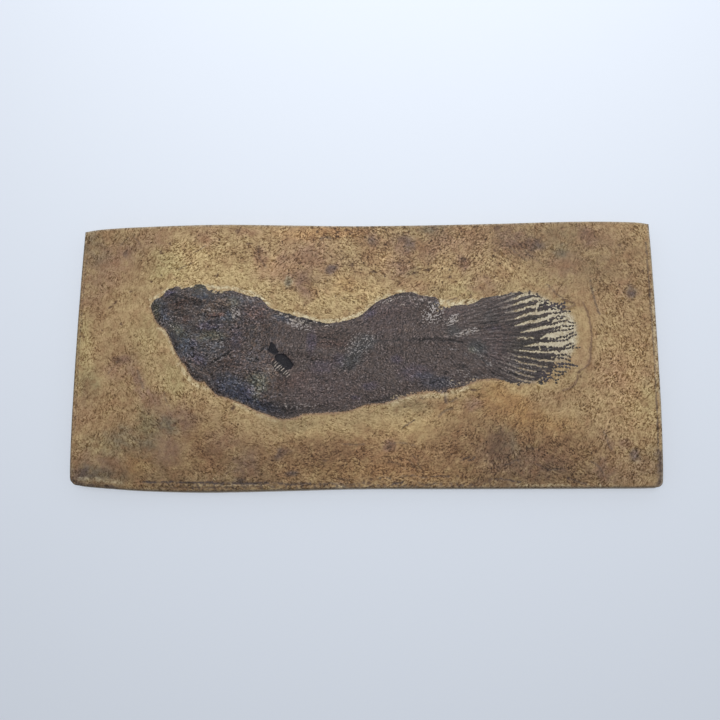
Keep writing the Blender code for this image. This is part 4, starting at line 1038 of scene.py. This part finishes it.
              (-84, -12.6, 5, 1.6, -20, .6), (12, -24.6, 9, 1.4, 6, .45), (-92.6, 22, 2, 1.6, 0, .4),
              (88, 0, 12, 8, 0, .25), (-71, -12, 4, 1.4, -20, .4), (-45, -26.6, 8, 1.2, -4, .5),
              (-86, 26, 3, 2, 0, .3), (-86.6, 12.6, 3, 1, -20, .4)]),
    # run of the fibres and scales: x, y, angle in degrees
    fibres=[
        (-108, 26, 70), (-103, 33, 30), (-96, 30, 3), (-95, 24, 8), (-86, 33, 0), (-83, 24, 4),
        (-78, 21, 2), (-79, 15, 2), (-73, 28, -25), (-68, 21, -60), (-98, 11, -52), (-92, 4, -50),
        (-88, -7, -48), (-84, 4, -8), (-78, 1, 12), (-76, 8, 0), (-66, 10, 30), (-60, 24, -35),
        (-58, 10, 60), (-66, -3, 5), (-72, -8, 22), (-68, -17, -38), (-60, -22, -35), (-53, -14, -30),
        (-50, -27, -20), (-40, -26, -6), (-46, 10, 75), (-42, -10, 48), (-44, 20, -18), (-32, 16, -16),
        (-34, 5, 75), (-34, -14, 10), (-18, 8, -4), (-14, -3, 6), (-16, -16, 8), (-20, -26, 2), (0, 4, 55),
        (-5, -7, 32), (2, -16, -45), (10, -16, -42), (16, -8, -50), (12, 4, 80), (20, 12, 70), (8, 22, 36),
        (16, 29, 24), (28, 26, -40), (36, 22, 55), (30, 10, 60), (38, 18, 22), (47, 17, 36), (54, 11, 16),
        (60, 15, 3), (44, 12, 12), (40, 3, -55), (50, 2, -50), (58, -1, -48), (64, -5, -42), (30, -8, -40),
        (52, -8, -12), (38, -16, 4), (46, -13, -35), (58, -12, -22), (56, 22, 12), (66, 26, 18),
        (66, 20, 10), (68, 13, 4), (70, 8, 1), (72, 2, -6), (70, -9, -30), (76, -12, -24), (76, 27, 24),
        (80, 22, 14), (82, 14, 9), (84, 6, 1), (82, -2, -8), (84, -8, -16), (92, 24, 22), (94, 16, 12),
        (94, 5, 0), (94, -6, -6), (104, 12, 8), (104, -4, -8)],
    # kinds of thin mark: colour, half width, strength, rise in mm, routes
    strokes=[
        ("black", .55, 1, -.32, [
            [(-106, 21), (-106.6, 19.6), (-107.4, 18.2)], [(-88.7, 3.2), (-88, 1.6), (-88.3, -1.4)],
            [(-79.4, -6), (-77.4, -4.2), (-75, -2.6), (-72.4, -1), (-70, .4), (-68.8, 2.2)],
            [(-84.2, 20.6), (-81, 20.3), (-77.6, 20), (-75.6, 20.5)],
            [(-57.6, -12), (-56.6, -13.2), (-55.7, -14)], [(-65.6, 13.4), (-64.6, 14)],
            [(-54.4, .4), (-52.8, 1.6), (-51.6, 3), (-51, 4.6)], [(-55.4, -2.6), (-54, -3.4)],
            [(-101.6, 32.4), (-100.4, 31.8)], [(-26.4, -3.6), (-25.4, -4)], [(9.8, 9.6), (10.4, 9)]]),
        ("black", .36, .75, -.22, [
            [(-79, 27.8), (-76.4, 27.4), (-74.6, 26.4), (-72.6, 25.5), (-70.2, 25.1)],
            [(-79.6, 6.6), (-77.4, 7.2), (-75, 7), (-71.8, 7.3)], [(-77.6, 5.2), (-77.2, 6.8)],
            [(-91.5, 1.4), (-89.5, -.6), (-88.4, -1.4)], [(-85.2, 3.4), (-83.4, 4), (-81.8, 3.4)],
            [(-85.4, 1.2), (-83, 1.8), (-81, 1.2)], [(-85, -.8), (-82.6, -.2), (-80.4, -1)],
            [(-62.6, -13.2), (-60.8, -12.2), (-59.4, -11), (-57.6, -10.9)],
            [(-55.2, -9.5), (-53.4, -9), (-51.6, -9.6)], [(-78, 16.4), (-75.6, 16.6), (-73.4, 16)],
            [(-49, 24.3), (-45.6, 23), (-41, 21.9), (-36, 20.4), (-30, 18.6)],
            [(-29, 17.7), (-24, 16.9), (-19, 16.2), (-14, 16.4)],
            [(-36, 17.6), (-33, 16.6), (-30, 15.5), (-26, 15.2)], [(-33.6, 12.4), (-31, 12.9)],
            [(12, 28.9), (15, 30), (18, 31.3), (20, 31.8)], [(60, 15), (64, 15.1), (67, 16), (70, 15.8)],
            [(60, 12.6), (64, 13), (68, 13.4), (72, 14)], [(3, -24.8), (6, -25.1), (10, -24.6)],
            [(-10, -8.6), (-6, -6.6), (-3.4, -4.4)], [(-7, -8.9), (-3.6, -6.4)],
            [(49, -6.4), (53, -7)], [(50, -8), (54, -7.8)], [(41.4, -10.6), (43.4, -11.8)],
            [(28, 6.4), (34, 6.9), (40, 6.4), (46, 6.2), (52, 5.2)], [(61, -2.4), (63, -4.6), (65, -6)],
            [(70, -8.4), (73, -10), (76, -11)], [(66, -10.6), (69, -12), (72, -12.6)],
            [(-23, 8.4), (-18, 8.2), (-12, 7.2)], [(-22, 5.4), (-16, 5), (-11, 3)],
            [(-24, -13), (-19, -12.8)], [(-20, -14.8), (-17, -13.6)], [(-21, -20.8), (-16, -20.4)],
            [(60.2, -2.4), (62, -4.2), (64.2, -6.6)], [(62.6, -.6), (64.4, -1.6)],
            [(65.2, -9.6), (67.4, -11), (69.4, -12.4)], [(75, -10), (77.6, -11.4), (80, -12.8)],
            [(74, -5), (76.4, -6.4), (79, -7.6)], [(66, -2), (69, -3.6), (72, -4.4)],
            [(46, -5.6), (48.4, -7.4)], [(56.6, -10.8), (59.6, -11.6), (62, -11.4)]]),
        ("coal", .42, .65, -.15, [
            [(-101, 31.4), (-95, 31.6), (-90, 31)], [(-100, 29.6), (-95, 30), (-91, 29.4)],
            [(-99, 26.6), (-94, 27.2), (-90, 26.4)], [(-98.5, 24), (-96.5, 21), (-95, 19.4)],
            [(-100.6, 14.2), (-98, 11.2), (-95.6, 8)], [(-86.5, 25.8), (-85.2, 24.6)],
            [(-90, -9.6), (-88.2, -11.4), (-85.6, -12.6)], [(-81.6, -12), (-80.6, -14), (-79.6, -16)],
            [(-78.8, -11), (-77.6, -14.6), (-75.9, -17.4), (-75.4, -19.6)],
            [(-74, -4.4), (-68, -5), (-63, -6.4)], [(-75, -7), (-70, -6.8), (-65, -8.2)],
            [(-94, 13), (-91, 11.4), (-88.6, 12)], [(-90.6, 17), (-87.6, 14.6), (-84.4, 13.6)],
            [(-103.4, 18.6), (-100, 13.4)], [(-77, -1.8), (-73, 1.4)], [(-73.6, 3.4), (-72.4, 5.4)],
            [(-50, -24), (-42, -25), (-34, -25.4)], [(-56, -25.4), (-48, -28.4), (-40, -28.8)],
            [(-72, -14.6), (-66, -19.4), (-62, -21.4)], [(-68, -11.8), (-62, -16), (-59.6, -18)],
            [(66, 24.6), (71, 26.8), (76, 29)], [(66, 21.4), (74, 22.6), (81, 24.6)],
            [(66, 18.6), (74, 19.6), (82, 20.9)], [(74, 15.6), (82, 16.8), (90, 18)],
            [(72, 11.8), (80, 12.6), (90, 14)], [(70, 9.6), (80, 9.4), (92, 10)],
            [(72, 5.8), (82, 5.4), (93, 5.6)], [(70, 3), (78, 2.8), (92, 2)],
            [(72, .8), (80, -.6), (92, -1.4)], [(70, -1.4), (78, -3.4), (88, -4.8)],
            [(70, -5.8), (80, -9), (90, -10.8)]]),
        ("haze", .3, .5, .1, [
            [(-106, 17.2), (-104.8, 15.8)], [(-66, 31.4), (-64.4, 31), (-63.6, 30.2), (-64.6, 29.8)],
            [(-76.6, 6.2), (-76.4, 4.8), (-74.8, 3.6), (-73, 4.2), (-72.8, 6)],
            [(-91.4, -3.6), (-90, -5.6), (-88.8, -7.6)], [(-89.9, -5.2), (-88.8, -7), (-87.7, -8.8)],
            [(-76.4, -4.4), (-73.6, -2.7), (-71, -1.2)], [(-79.5, -13), (-78, -16), (-76.8, -18)],
            [(-57, -20.8), (-56, -22.6), (-55.4, -24)], [(-56, -16.6), (-53.6, -17.4), (-52, -19.4)],
            [(-51.6, -18.6), (-49.4, -18.2), (-47.6, -17.4)],
            [(-6.9, 2), (-6.4, 4), (-4, 5.3), (-1.4, 5)], [(-1, 4.6), (1.4, 3.4), (2, 1.4)],
            [(2, 9.6), (3.8, 8.4), (4.6, 6), (3.2, 3.6)], [(5.2, 9), (5.6, 6.6)],
            [(57.6, 1.2), (59.6, -1.4), (61.4, -3.8)], [(61.8, -3.2), (63.2, -5), (64.6, -6.8)],
            [(63.4, -3.6), (65.4, -5.6), (67, -7.6)], [(75.4, -5.6), (78, -6.4), (80.4, -7.6)],
            [(75.6, -8.8), (78, -9.8), (80.6, -11.4)], [(44.6, 2.4), (47, 1.6), (49.4, 1.4)],
            [(52.6, .4), (54, -1.6)], [(67, -4.4), (69.4, -5.6)], [(52, -13), (54, -12.4)],
            [(58, -12.4), (60, -13)], [(76, -2), (78.4, -2.6)]]),
        ("bone", .5, .85, .06, [
            [(-40.4, 19.8), (-39, 20.4)], [(-38, 18.6), (-36, 18.2), (-35, 17.3)],
            [(-34.6, 19.4), (-33.4, 19)], [(-33.6, 17), (-32, 16.2), (-31, 16.6)],
            [(-36.6, 16.6), (-35.8, 15.8)], [(-30.6, 18), (-29.6, 17.6)],
            [(-28.6, 15.6), (-27.2, 15.4)], [(-43.4, 21.6), (-42.2, 21.2)], [(-25.4, 17.3), (-23.6, 16.9)]]),
        ("bone", .33, .6, .06, [
            [(-69.8, 24.2), (-68.4, 22.6), (-67.6, 20.6), (-67.8, 19.4)], [(-68, 24.4), (-66.6, 22.8)],
            [(-55.9, 13.2), (-55.3, 12.3)], [(-47, -7.8), (-46.5, -8.4)], [(-38.6, 4.4), (-38.3, 3.9)],
            [(-101, 15.4), (-99.6, 14.4), (-98.2, 13.8)], [(-97.7, 17.4), (-97.1, 16.8)],
            [(-36.8, 19.1), (-34.6, 18.4), (-32.4, 17.5), (-30.6, 16.9)], [(-61.6, 30.4), (-59, 30.2)],
            [(-29.4, 16.2), (-28, 16.9), (-26.8, 16.4)], [(-44.6, 20.4), (-43.4, 20.9)],
            [(-19.7, 14.4), (-18.6, 15.2), (-17.4, 14.4)], [(-28, -16.9), (-27.6, -17.6)],
            [(-17.6, -18.6), (-17.2, -19.2)], [(-39.6, -26.6), (-38.9, -27.8)],
            [(12, 26.8), (14, 27.8), (16.6, 28.9), (19, 29.6)], [(19.6, 25.6), (21, 26), (22.4, 25.2)],
            [(44, 15.4), (46.4, 16.8), (48.4, 18.4), (49.2, 19.4)],
            [(46.6, 15), (48.6, 16.2), (50.6, 17.8)],
            [(49.6, 10.4), (52, 10.6), (54, 11.6), (56, 12.4)],
            [(51, 9.4), (54, 10.1), (57, 11), (60, 11.4)],
            [(31, 28.6), (32.4, 29.4), (33.2, 28.6)], [(34.4, 27), (36.4, 26.6)]])],
    # places where pale streaks show: x, y, half length, half width, turn, strength
    gleams=[
        (37, 21, 6.4, 5.4, 40, 1), (31, 27, 5, 2.4, -20, .6), (46.4, 17.4, 5, 2.4, 38, .9),
        (54.6, 11, 6, 1.7, 18, .95), (14, 28.6, 7, 1.3, 25, .55), (24, 29.6, 6, 1.8, -6, .5),
        (-2, 5, 8, 6, 30, .55), (4, 6.6, 3, 4, 0, .4), (-9, -3, 5, 3, 20, .35), (59, -.4, 6, 1.6, -36, .5),
        (65, -4.6, 6, 1.4, -42, .5), (53, -11.4, 6, 3, -18, .45), (44, -15.6, 4, 2.6, 0, .6),
        (-30, -27.4, 14, 1.4, 2, .45), (-33, 15.2, 8, 2.6, -18, .7), (-18, 14.6, 4, 1, 0, .5),
        (-67, 22.6, 2.6, 4, 40, .75), (-61, 29.4, 4, 1.4, -18, .5), (-69.4, 31.8, 2, .8, 0, .4),
        (-59, 25, 4, 2.4, -30, .3), (-51, -18, 4, 1.2, 20, .7), (-55.6, -21.6, 1.2, 3.4, 20, .8),
        (-55, -15, 4.4, 3, 0, .35), (-99.6, 15, 4, 1.8, -36, .5), (-104, 21, 4, 2, 0, .3),
        (-81, 1.6, 9, 6, 0, .2), (-74, -1.6, 5, .9, 28, .6), (-90.4, -6, 1, 4.6, 38, .6),
        (-79.6, 23.8, 5, 1.2, -6, .45), (-78, 15, 6, 1.3, 5, .5), (-47, -9, 3.4, 2.6, 0, .5),
        (-75, 5, 3, 2.6, 0, .5), (-66, -14, 6, 3, -30, .3), (-78, 35, 3.6, .8, -12, .8),
        (80, -8, 9, 7, -16, .35), (60, 22, 10, 5, 16, .15), (-14, -12, 30, 12, 4, .12),
        (-67, 4, 10, 9, 0, .1), (-90, 20, 12, 9, 0, .2), (20, -8, 26, 9, -8, .1)],
    # dark socket of the breast fin, in two hollows
    sockets=[
        [(-47.5, 6), (-46, 5.2), (-44.5, 2.6), (-43.6, .4), (-45.6, -.2), (-48.8, 1.2),
         (-48.4, 3.4)],
        [(-44.6, -.4), (-41, 0), (-38.5, -2), (-36.5, -4.5), (-35.6, -5.8), (-36.8, -7.6),
         (-38.4, -8.4), (-40.6, -7.8), (-42.4, -6.2), (-44.2, -4.4), (-45.2, -2.4)]],
    socketDepth=0.35,
    # the comb of rays under the socket, its dark ground, and the oval with a finer mesh
    comb=dict(start=(-46.4, -3.6), end=(-37.7, -11.2), teeth=9, lean=46, length=3, rise=0.16,
              seed=7, ground=(-42.4, -8, 6.4, 1.9, -42), fine=(-42.6, -4, 9, 5.4, -50)),
    # places where the film is thin: x, y, half length, half width, turn, loss in mm
    flaked=[
        (18, -23, 5, 1.6, -16, .8), (27, -21.2, 4, 1.2, 0, .6), (47, -14.4, 4, 3.4, -20, .35),
        (36, -20, 5, 1, 0, .3), (42, 25, 4, 1.2, 0, .6), (-77.6, 34.4, 3.4, 1.4, -16, .7),
        (93, 27, 4, 3, -20, .5), (56, -14.4, 4, 1, 10, .5), (94, -12.4, 4, 3.4, 0, .5),
        (97, -5, 3, 3, 0, .35), (86, -16, 6, .8, 0, .5), (101, 24.6, 5, 2.4, 0, .35),
        (38, 24, 4, 3.6, 0, .3)],
    fibreSteps=(-0.35, 0, 0.35),                    # mm along the fibres
    # what the fine texture multiplies the colour by, and the colour of its pale streaks
    shades=dict(
        dark=(0.16, 0.15, 0.16, 1), light=(2.7, 2.65, 2.7, 1), pit=(0.2, 0.18, 0.19, 1),
        gleam=(0.37, 0.34, 0.325, 1)),
    roughness=0.6,
    specular=0.3,
    bumpStrength=0.6,
    bumpDepth=0.16,          # mm
)


def fishLoop(*names):
    return smoothRoute([point for name in names for point in fish[name]], 2, closed=True)


fishEnvelope = fishLoop("back", "fanEdge", "belly")
fanArea = fishLoop("fanArea")
socketLoops = [smoothRoute(loop, 3, closed=True) for loop in fish["sockets"]]


def bareStrips(x, y, film, fibre):
    # the film's depth once the bare strips between the rays are cut out of it, and how much of
    # a strip shows
    shows = np.zeros(len(x))
    ragged = 0.4 * softNoise(x, y, 0.95, 103) + 0.14 * softNoise(x, y, 2.1, 105) + 0.25 * fibre
    share = 0.67 + 0.22 * fade(fish, "upperStrips", y)
    closed = 3 * (1 - fade(fish, "openStrips", x))
    for gap in fish["gaps"]:
        distance, half = nearestOnRoute(x, y, smoothRoute(gap), 2.5)
        bare = half * share - distance - ragged
        near = distance < 2.4
        shows = np.maximum(shows, np.where(near, smoothStep(-0.35, 0.25, bare), 0))
        film = np.where(near, np.minimum(film, -bare + closed), film)
    return film, shows


def rayTips(x, y):
    # mm inside the jointed loose ends of the rays
    tips = np.full(len(x), -9.0)
    frayed = 1.15 + 0.35 * softNoise(x, y, 1.1, 110)
    wander = 0.3 * softNoise(x, y, 2.3, 111)
    jointed = fade(fish, "jointedTips", x)
    for number, ray in enumerate(fish["rayEnds"]):
        distance, half = nearestOnRoute(x, y, smoothRoute(ray), 2.5)
        torn = half * frayed + 0.24 - distance
        phase = (x * 0.98 + y * 0.2 + number * 0.47) / fish["jointSpacing"] + wander
        torn -= 0.5 * smoothStep(0.62, 0.95, np.abs(phase % 1 - 0.5) * 2) * jointed
        torn -= 0.35 * smoothStep(0.35, 0.8, softNoise(x, y, 1.7, 120 + number))
        tips = np.maximum(tips, np.where(distance < 2.4, torn, -9))
    return tips


def filmDepth(x, y, fibre):
    # mm inside the film's broken edge, negative over bare resin; mm inside the outline; and how
    # much of a bare strip between the rays shows
    skin = loopDepth(x, y, fishLoop("back", "skinEnd", "belly"), 30)
    under = fade(fish, "brokenBelow", y) * fade(fish, "brokenRight", x)
    ragged = (0.26 + 0.2 * under) * softNoise(x, y, 0.9, 101) + 0.22 * softNoise(x, y, 2.6, 102)
    crumbs = 0.85 * softNoise(x, y, 1.0, 104) - 0.68
    film = np.maximum(skin + ragged, np.where(skin > -1.5 - 0.6 * under, crumbs, -2))
    film += 0.3 * fade(fish, "fan", x) * fibre
    film, strip = bareStrips(x, y, film, fibre)
    tips = rayTips(x, y)
    film = np.maximum(film, tips)
    crumbs = 0.9 * softNoise(x, y, 0.8, 106) - 0.5
    film = np.maximum(film, np.where(loopDepth(x, y, fanArea, 3) > 0.5, crumbs, -2))
    strip *= 1 - smoothStep(-0.2, 0.2, tips)
    flakes = softNoise(x, y, 1.15, 130) + 0.4 * softNoise(x, y, 2.4, 131)
    for *spot, loss in fish["flaked"]:
        thin = oval(x, y, spot, 0.5) * smoothStep(1 - loss, 1.3 - loss, flakes + 0.35)
        film = np.minimum(film, 3) - 3.4 * thin
    return film, skin, strip


def combTeeth(x, y):
    # 1 on the fine rays under the breast fin's socket
    comb = fish["comb"]
    chance = np.random.RandomState(comb["seed"])
    total = np.zeros(len(x))
    for t in np.linspace(0, 1, comb["teeth"]):
        foot = np.array(comb["start"]) * (1 - t) + np.array(comb["end"]) * t
        foot = foot + chance.uniform(-0.3, 0.3, 2)
        lean = math.radians(comb["lean"] + chance.uniform(-9, 9))
        half = comb["length"] / 2 * chance.uniform(0.7, 1.2)
        reach = np.array([math.cos(lean), math.sin(lean)]) * half
        distance = routeDistance(x, y, np.array([foot - reach, foot + reach]), 2)
        total = np.maximum(total, 1 - smoothStep(0.1, 0.46, distance))
    return total


def fishRelief(x, y, film, skin, fibre):
    # mm over the plate's face, under it where the film is missing
    crown = smoothStep(0, fish["crownMargin"], skin)
    fan = fade(fish, "flatFan", x)
    body = fish["edgeRise"] + (fish["crownRise"] - fish["edgeRise"]) * crown * (1 - 0.75 * fan)
    for *spot, rise in fish["lumps"]:
        body += rise * crown * oval(x, y, spot, 0.5)
    for halfWidth, rise, route in fish["ridges"]:
        body += rise * (1 - fan) * stroke(x, y, route, halfWidth * 0.3, halfWidth * 1.3)
    head = fade(fish, "crumpledHead", x)
    crumple = 0.13 * cloud(x, y, 4.2, 141) + 0.1 * cloud(x, y, 1.9, 142, 2)
    body += (0.15 + 0.85 * head) * crumple * crown ** 0.5
    body += (0.055 + 0.04 * head) * fibre + 0.03 * softNoise(x, y, 0.85, 152)
    for _, halfWidth, _, rise, routes in fish["strokes"]:
        for route in routes:
            body += rise * stroke(x, y, route, halfWidth * 0.3, halfWidth * 1.6)
    for loop in socketLoops:
        body -= fish["socketDepth"] * smoothStep(-0.3, 0.5, loopDepth(x, y, loop, 5))
    body += fish["comb"]["rise"] * combTeeth(x, y)
    buried = -0.35
    return buried + (np.maximum(body, 0.06) - buried) * smoothStep(-0.25, 0.2, film)


def skinLayers(x, y, fibre):
    # dark flecks, the tail's stripes and the worn lower edge
    yield "coal", 0.6 * smoothStep(0.45, 0.85, softNoise(x, y, 1.25, 173))
    fan = 0.6 * fade(fish, "stripedTail", x) + 0.4 * fade(fish, "stripedFan", x)
    yield "coal", 0.9 * fan * smoothStep(0, 0.6, -fibre)
    yield "haze", 0.55 * fan * smoothStep(0.15, 0.8, fibre)
    belly = routeDistance(x, y, smoothRoute(fish["belly"]), 4) + 0.5 * softNoise(x, y, 1.4, 184)
    yield "dust", 0.55 * smoothStep(1.3, 0.1, belly)


def thinLayers(x, y):
    # cracks, seams and flecks, the sockets, and the comb of rays
    shiftX, shiftY = 0.5 * softNoise(x, y, 1.2, 181), 0.5 * softNoise(x, y, 1.2, 182)
    sx, sy = x + shiftX, y + shiftY
    broken = 0.6 + 0.4 * np.sign(softNoise(x, y, 1.6, 183) + 0.3)
    for name, halfWidth, strength, _, routes in fish["strokes"]:
        for route in routes:
            yield name, (strength * stroke(sx, sy, route, halfWidth * 0.3, halfWidth * 1.2)
                         * broken)
    for loop in socketLoops:
        depth = loopDepth(x + shiftX * 0.6, y + shiftY * 0.6, loop, 5)
        yield "night", 0.97 * smoothStep(-0.4, 0.3, depth)
    teeth = combTeeth(x, y)
    comb = oval(x, y, fish["comb"]["ground"], 0.4)
    yield "black", 0.8 * comb * (1 - teeth)
    yield "bone", 0.7 * comb * teeth


def fishTint(x, y, film, strip, fibre):
    colours = fish["colours"]
    tint = np.tile(np.array(fish["skin"], float), (len(x), 1))
    wx = x + 0.9 * cloud(x, y, 3.5, 161) + 0.7 * softNoise(x, y, 1.3, 162)
    wy = y + 0.9 * cloud(x, y, 3.5, 163) + 0.7 * softNoise(x, y, 1.3, 164)
    head = fade(fish, "brightHead", x)
    tint *= (1 + (0.07 + 0.07 * head) * cloud(x, y, 8, 165))[:, None]
    tint = paint(tint, colours, ((name, strength * oval(wx, wy, spot, 0.6))
                                 for name, spots in fish["patches"].items()
                                 for *spot, strength in spots))
    hue = softNoise(x, y, 2.4, 166) + softNoise(x, y, 1.1, 167)
    tint *= 1 + (0.03 + 0.04 * head[:, None]) * hue[:, None] * np.array(fish["hueSwing"])
    grain = softNoise(x, y, 0.9, 171)
    smooth = oval(wx, wy, fish["smoothBone"], 0.3)
    rough = (0.09 + 0.04 * head) * grain + (0.07 + 0.05 * fade(fish, "roughTail", x)) * fibre
    tint *= (1 + rough * (1 - 0.4 * smooth))[:, None]
    tint = paint(tint, colours, skinLayers(x, y, fibre))
    tint *= (1 - 0.17 * fade(fish, "dimFan", x))[:, None]
    tint = paint(tint, colours, thinLayers(x, y))
    places, shades = zip(*fish["stripColours"])
    pale = np.stack([np.interp(x + 0.4 * np.minimum(y, 0), places, band)
                     for band in zip(*shades)], 1)
    tint = laidOver(tint, pale, 0.9 * strip)
    worn = np.array(fish["wornEdge"]) * (1 + 0.1 * grain[:, None])
    return laidOver(tint, worn, smoothStep(0.22, -0.12, film) * (0.5 + 0.3 * fade(fish, "fan", x)))


def filmSheet():
    # a fine lattice over the outline, halved again at the comb, and closed below at z = -1
    cell = fish["cell"]
    xs, ys = (np.arange(places.min() - 2, places.max() + 2, cell) for places in fishEnvelope.T)
    gx, gy = np.meshgrid(xs, ys, indexing="ij")
    depth = loopDepth(gx.ravel(), gy.ravel(), fishEnvelope, 4).reshape(gx.shape)
    work = bmesh.new()
    lattice = {}
    for i, j in zip(*np.nonzero(depth > -fish["skirt"])):
        lattice[i, j] = work.verts.new((gx[i, j], gy[i, j], 0))
    for i, j in list(lattice):
        corners = [lattice.get(key) for key in ((i, j), (i + 1, j), (i + 1, j + 1), (i, j + 1))]
        if None not in corners:
            work.faces.new(corners)
    fine = oval(gx, gy, fish["comb"]["fine"], 0.1) > 0.5
    fine = {vertex for key, vertex in lattice.items() if fine[key]}
    comb = [edge for edge in work.edges if fine.issuperset(edge.verts)]
    bmesh.ops.subdivide_edges(work, edges=comb, cuts=1, use_grid_fill=True)
    loose = [vertex for vertex in work.verts if not vertex.link_faces]
    bmesh.ops.delete(work, geom=loose, context="VERTS")
    closeBelow(work, [-1])
    return work


def makeFish():
    piece = meshPiece("fossilFish", filmSheet(), fossilFinish())
    mesh = piece.data
    x, y, under = getPlaces(mesh).T
    fan = fade(fish, "combedTail", x)
    lie = lieField(x, y, fish["fibres"], 0.35 * (1 - 0.8 * fan), 4, 191)
    fibre = combed(x, y, lie, 0.85, 2.2, 192)
    fibre += fan * (1.25 * combed(x, y, lie, 0.8, 5.5, 193) - fibre)
    film, skin, strip = filmDepth(x, y, fibre)
    height = fishRelief(x, y, film, skin, fibre)
    soft = fish["softTop"]
    bend = fishHigh[2] / mm - faceHeight - fish["topGap"] - soft
    height = np.where(height > bend, bend + soft * np.tanh((height - bend) / soft), height)
    underside = fishLow[2] / mm - fish["sink"]
    setPlaces(mesh, x, y, np.where(under < 0, underside, faceHeight + height))
    setTint(mesh, fishTint(x, y, film, strip, fibre))
    setDirection(mesh, "fibre", lie)
    gleam = np.full(len(x), 0.06)
    for *spot, strength in fish["gleams"]:
        gleam = np.maximum(gleam, strength * oval(x, y, spot, 0.5))
    smooth = oval(x, y, fish["smoothBone"], 0.3)
    hollow = sum(smoothStep(-0.2, 0.4, loopDepth(x, y, loop, 5)) for loop in socketLoops)
    rough = (0.66 + 0.16 * fade(fish, "dullHead", x)) * (1 - 0.35 * smooth) * (1 - 0.6 * hollow)
    setNumber(mesh, "gleam", gleam * (1 - hollow))
    setNumber(mesh, "rough", rough * (1 - 0.6 * strip) * (1 - 0.4 * fan))
    mesh.shade_smooth()
    return piece


def fossilFinish():
    material, shader, start = newMaterial("fossilFilm")
    place = start.place()
    gleam = start.stored("gleam", "Fac")
    bent = place.shifted(place.noise(0.5, 2, out="Color").shifted((-0.5, -0.5, -0.5)).scaled(1.6))
    streak = bent.drawnOut(start.stored("fibre", "Vector"), fish["fibreSteps"], 1.35)
    grain = place.noise(1.45)
    pits = (bent.noise(0.9, 1, 0.6) - 0.5).maths("ABSOLUTE").fade(0.035, 0.005)
    rough = start.stored("rough", "Fac") * (place.noise(0.3, 1).fade(0.36, 0.64) * 0.5 + 0.75)
    colour = start.stored("tint", "Color")
    for shade, mask in (("dark", streak.fade(0.5, 0.35) * rough * 0.95),
                        ("light", streak.fade(0.53, 0.68) * rough * 0.42),
                        ("dark", grain.fade(0.48, 0.28) * rough),
                        ("light", grain.fade(0.55, 0.72) * rough * 0.45),
                        ("pit", pits * rough * 0.55)):
        colour = colour.blended(fish["shades"][shade], mask, "MULTIPLY")
    pale = (streak * 0.6 + grain * 0.4 + gleam * 0.1).fade(0.6, 0.68)
    colour = colour.blended(fish["shades"]["gleam"], pale * (gleam * 0.85 + 0.1))
    height = streak * 0.6 + grain * 0.6 - pits * 0.15
    finish(shader, fish, colour, grain * 0.15, height)
    return material


slab = makePlate()
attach(slab, "root")
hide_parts("matrix_slab")
print("plate made:", len(slab.data.vertices), "points")

fossil = makeFish()
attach(fossil, "root")
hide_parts("fish")
print("fish made:", len(fossil.data.vertices), "points")


# Floor, light and camera.

studio = dict(
    floorColour=(0.70, 0.755, 0.845),
    floorSize=9.0,
    sky=(1.0, 1.0, 1.0),
    skyStrength=0.3,
    # soft panels: place in metres, size, watts, whether it casts a shadow
    panels=[((0.04, 0.5, 0.6), 0.5, 4.7, False), ((0.03, -0.1, 1.2), 0.7, 3.0, True)],
    lens=50,
    sensor=36,
    cameraPlace=(0.0262, -0.1029, 0.5167),
    cameraTurn=(11.11, 3.05, 0.23),
)


def makeFloor():
    work = bmesh.new()
    bmesh.ops.create_grid(work, x_segments=1, y_segments=1, size=studio["floorSize"] / 2)
    material, shader, _ = newMaterial("floorPaint")
    plug(shader, {"Base Color": (*studio["floorColour"], 1), "Roughness": 0.9,
                  "Specular IOR Level": 0.1})
    meshPiece("floor", work, material)


def makeLight():
    world = bpy.data.worlds.new("studio")
    world.use_nodes = True
    back = world.node_tree.nodes["Background"]
    back.inputs["Color"].default_value = (*studio["sky"], 1)
    back.inputs["Strength"].default_value = studio["skyStrength"]
    bpy.context.scene.world = world
    for number, (place, size, watts, shadow) in enumerate(studio["panels"]):
        light = bpy.data.lights.new("panel%d" % number, "AREA")
        light.size = size
        light.energy = watts
        light.use_shadow = shadow
        lamp = bpy.data.objects.new(light.name, light)
        lamp.visible_camera = False
        lamp.location = place
        lamp.rotation_euler = (-lamp.location).to_track_quat("-Z", "Y").to_euler()
        bpy.context.scene.collection.objects.link(lamp)


def makeCamera():
    data = bpy.data.cameras.new("camera")
    data.lens = studio["lens"]
    data.sensor_width = studio["sensor"]
    camera = bpy.data.objects.new("camera", data)
    camera.location = studio["cameraPlace"]
    camera.rotation_euler = [math.radians(angle) for angle in studio["cameraTurn"]]
    bpy.context.scene.collection.objects.link(camera)
    bpy.context.scene.camera = camera


makeFloor()
makeLight()
makeCamera()
bpy.context.scene.view_settings.view_transform = "Standard"
print("studio ready")
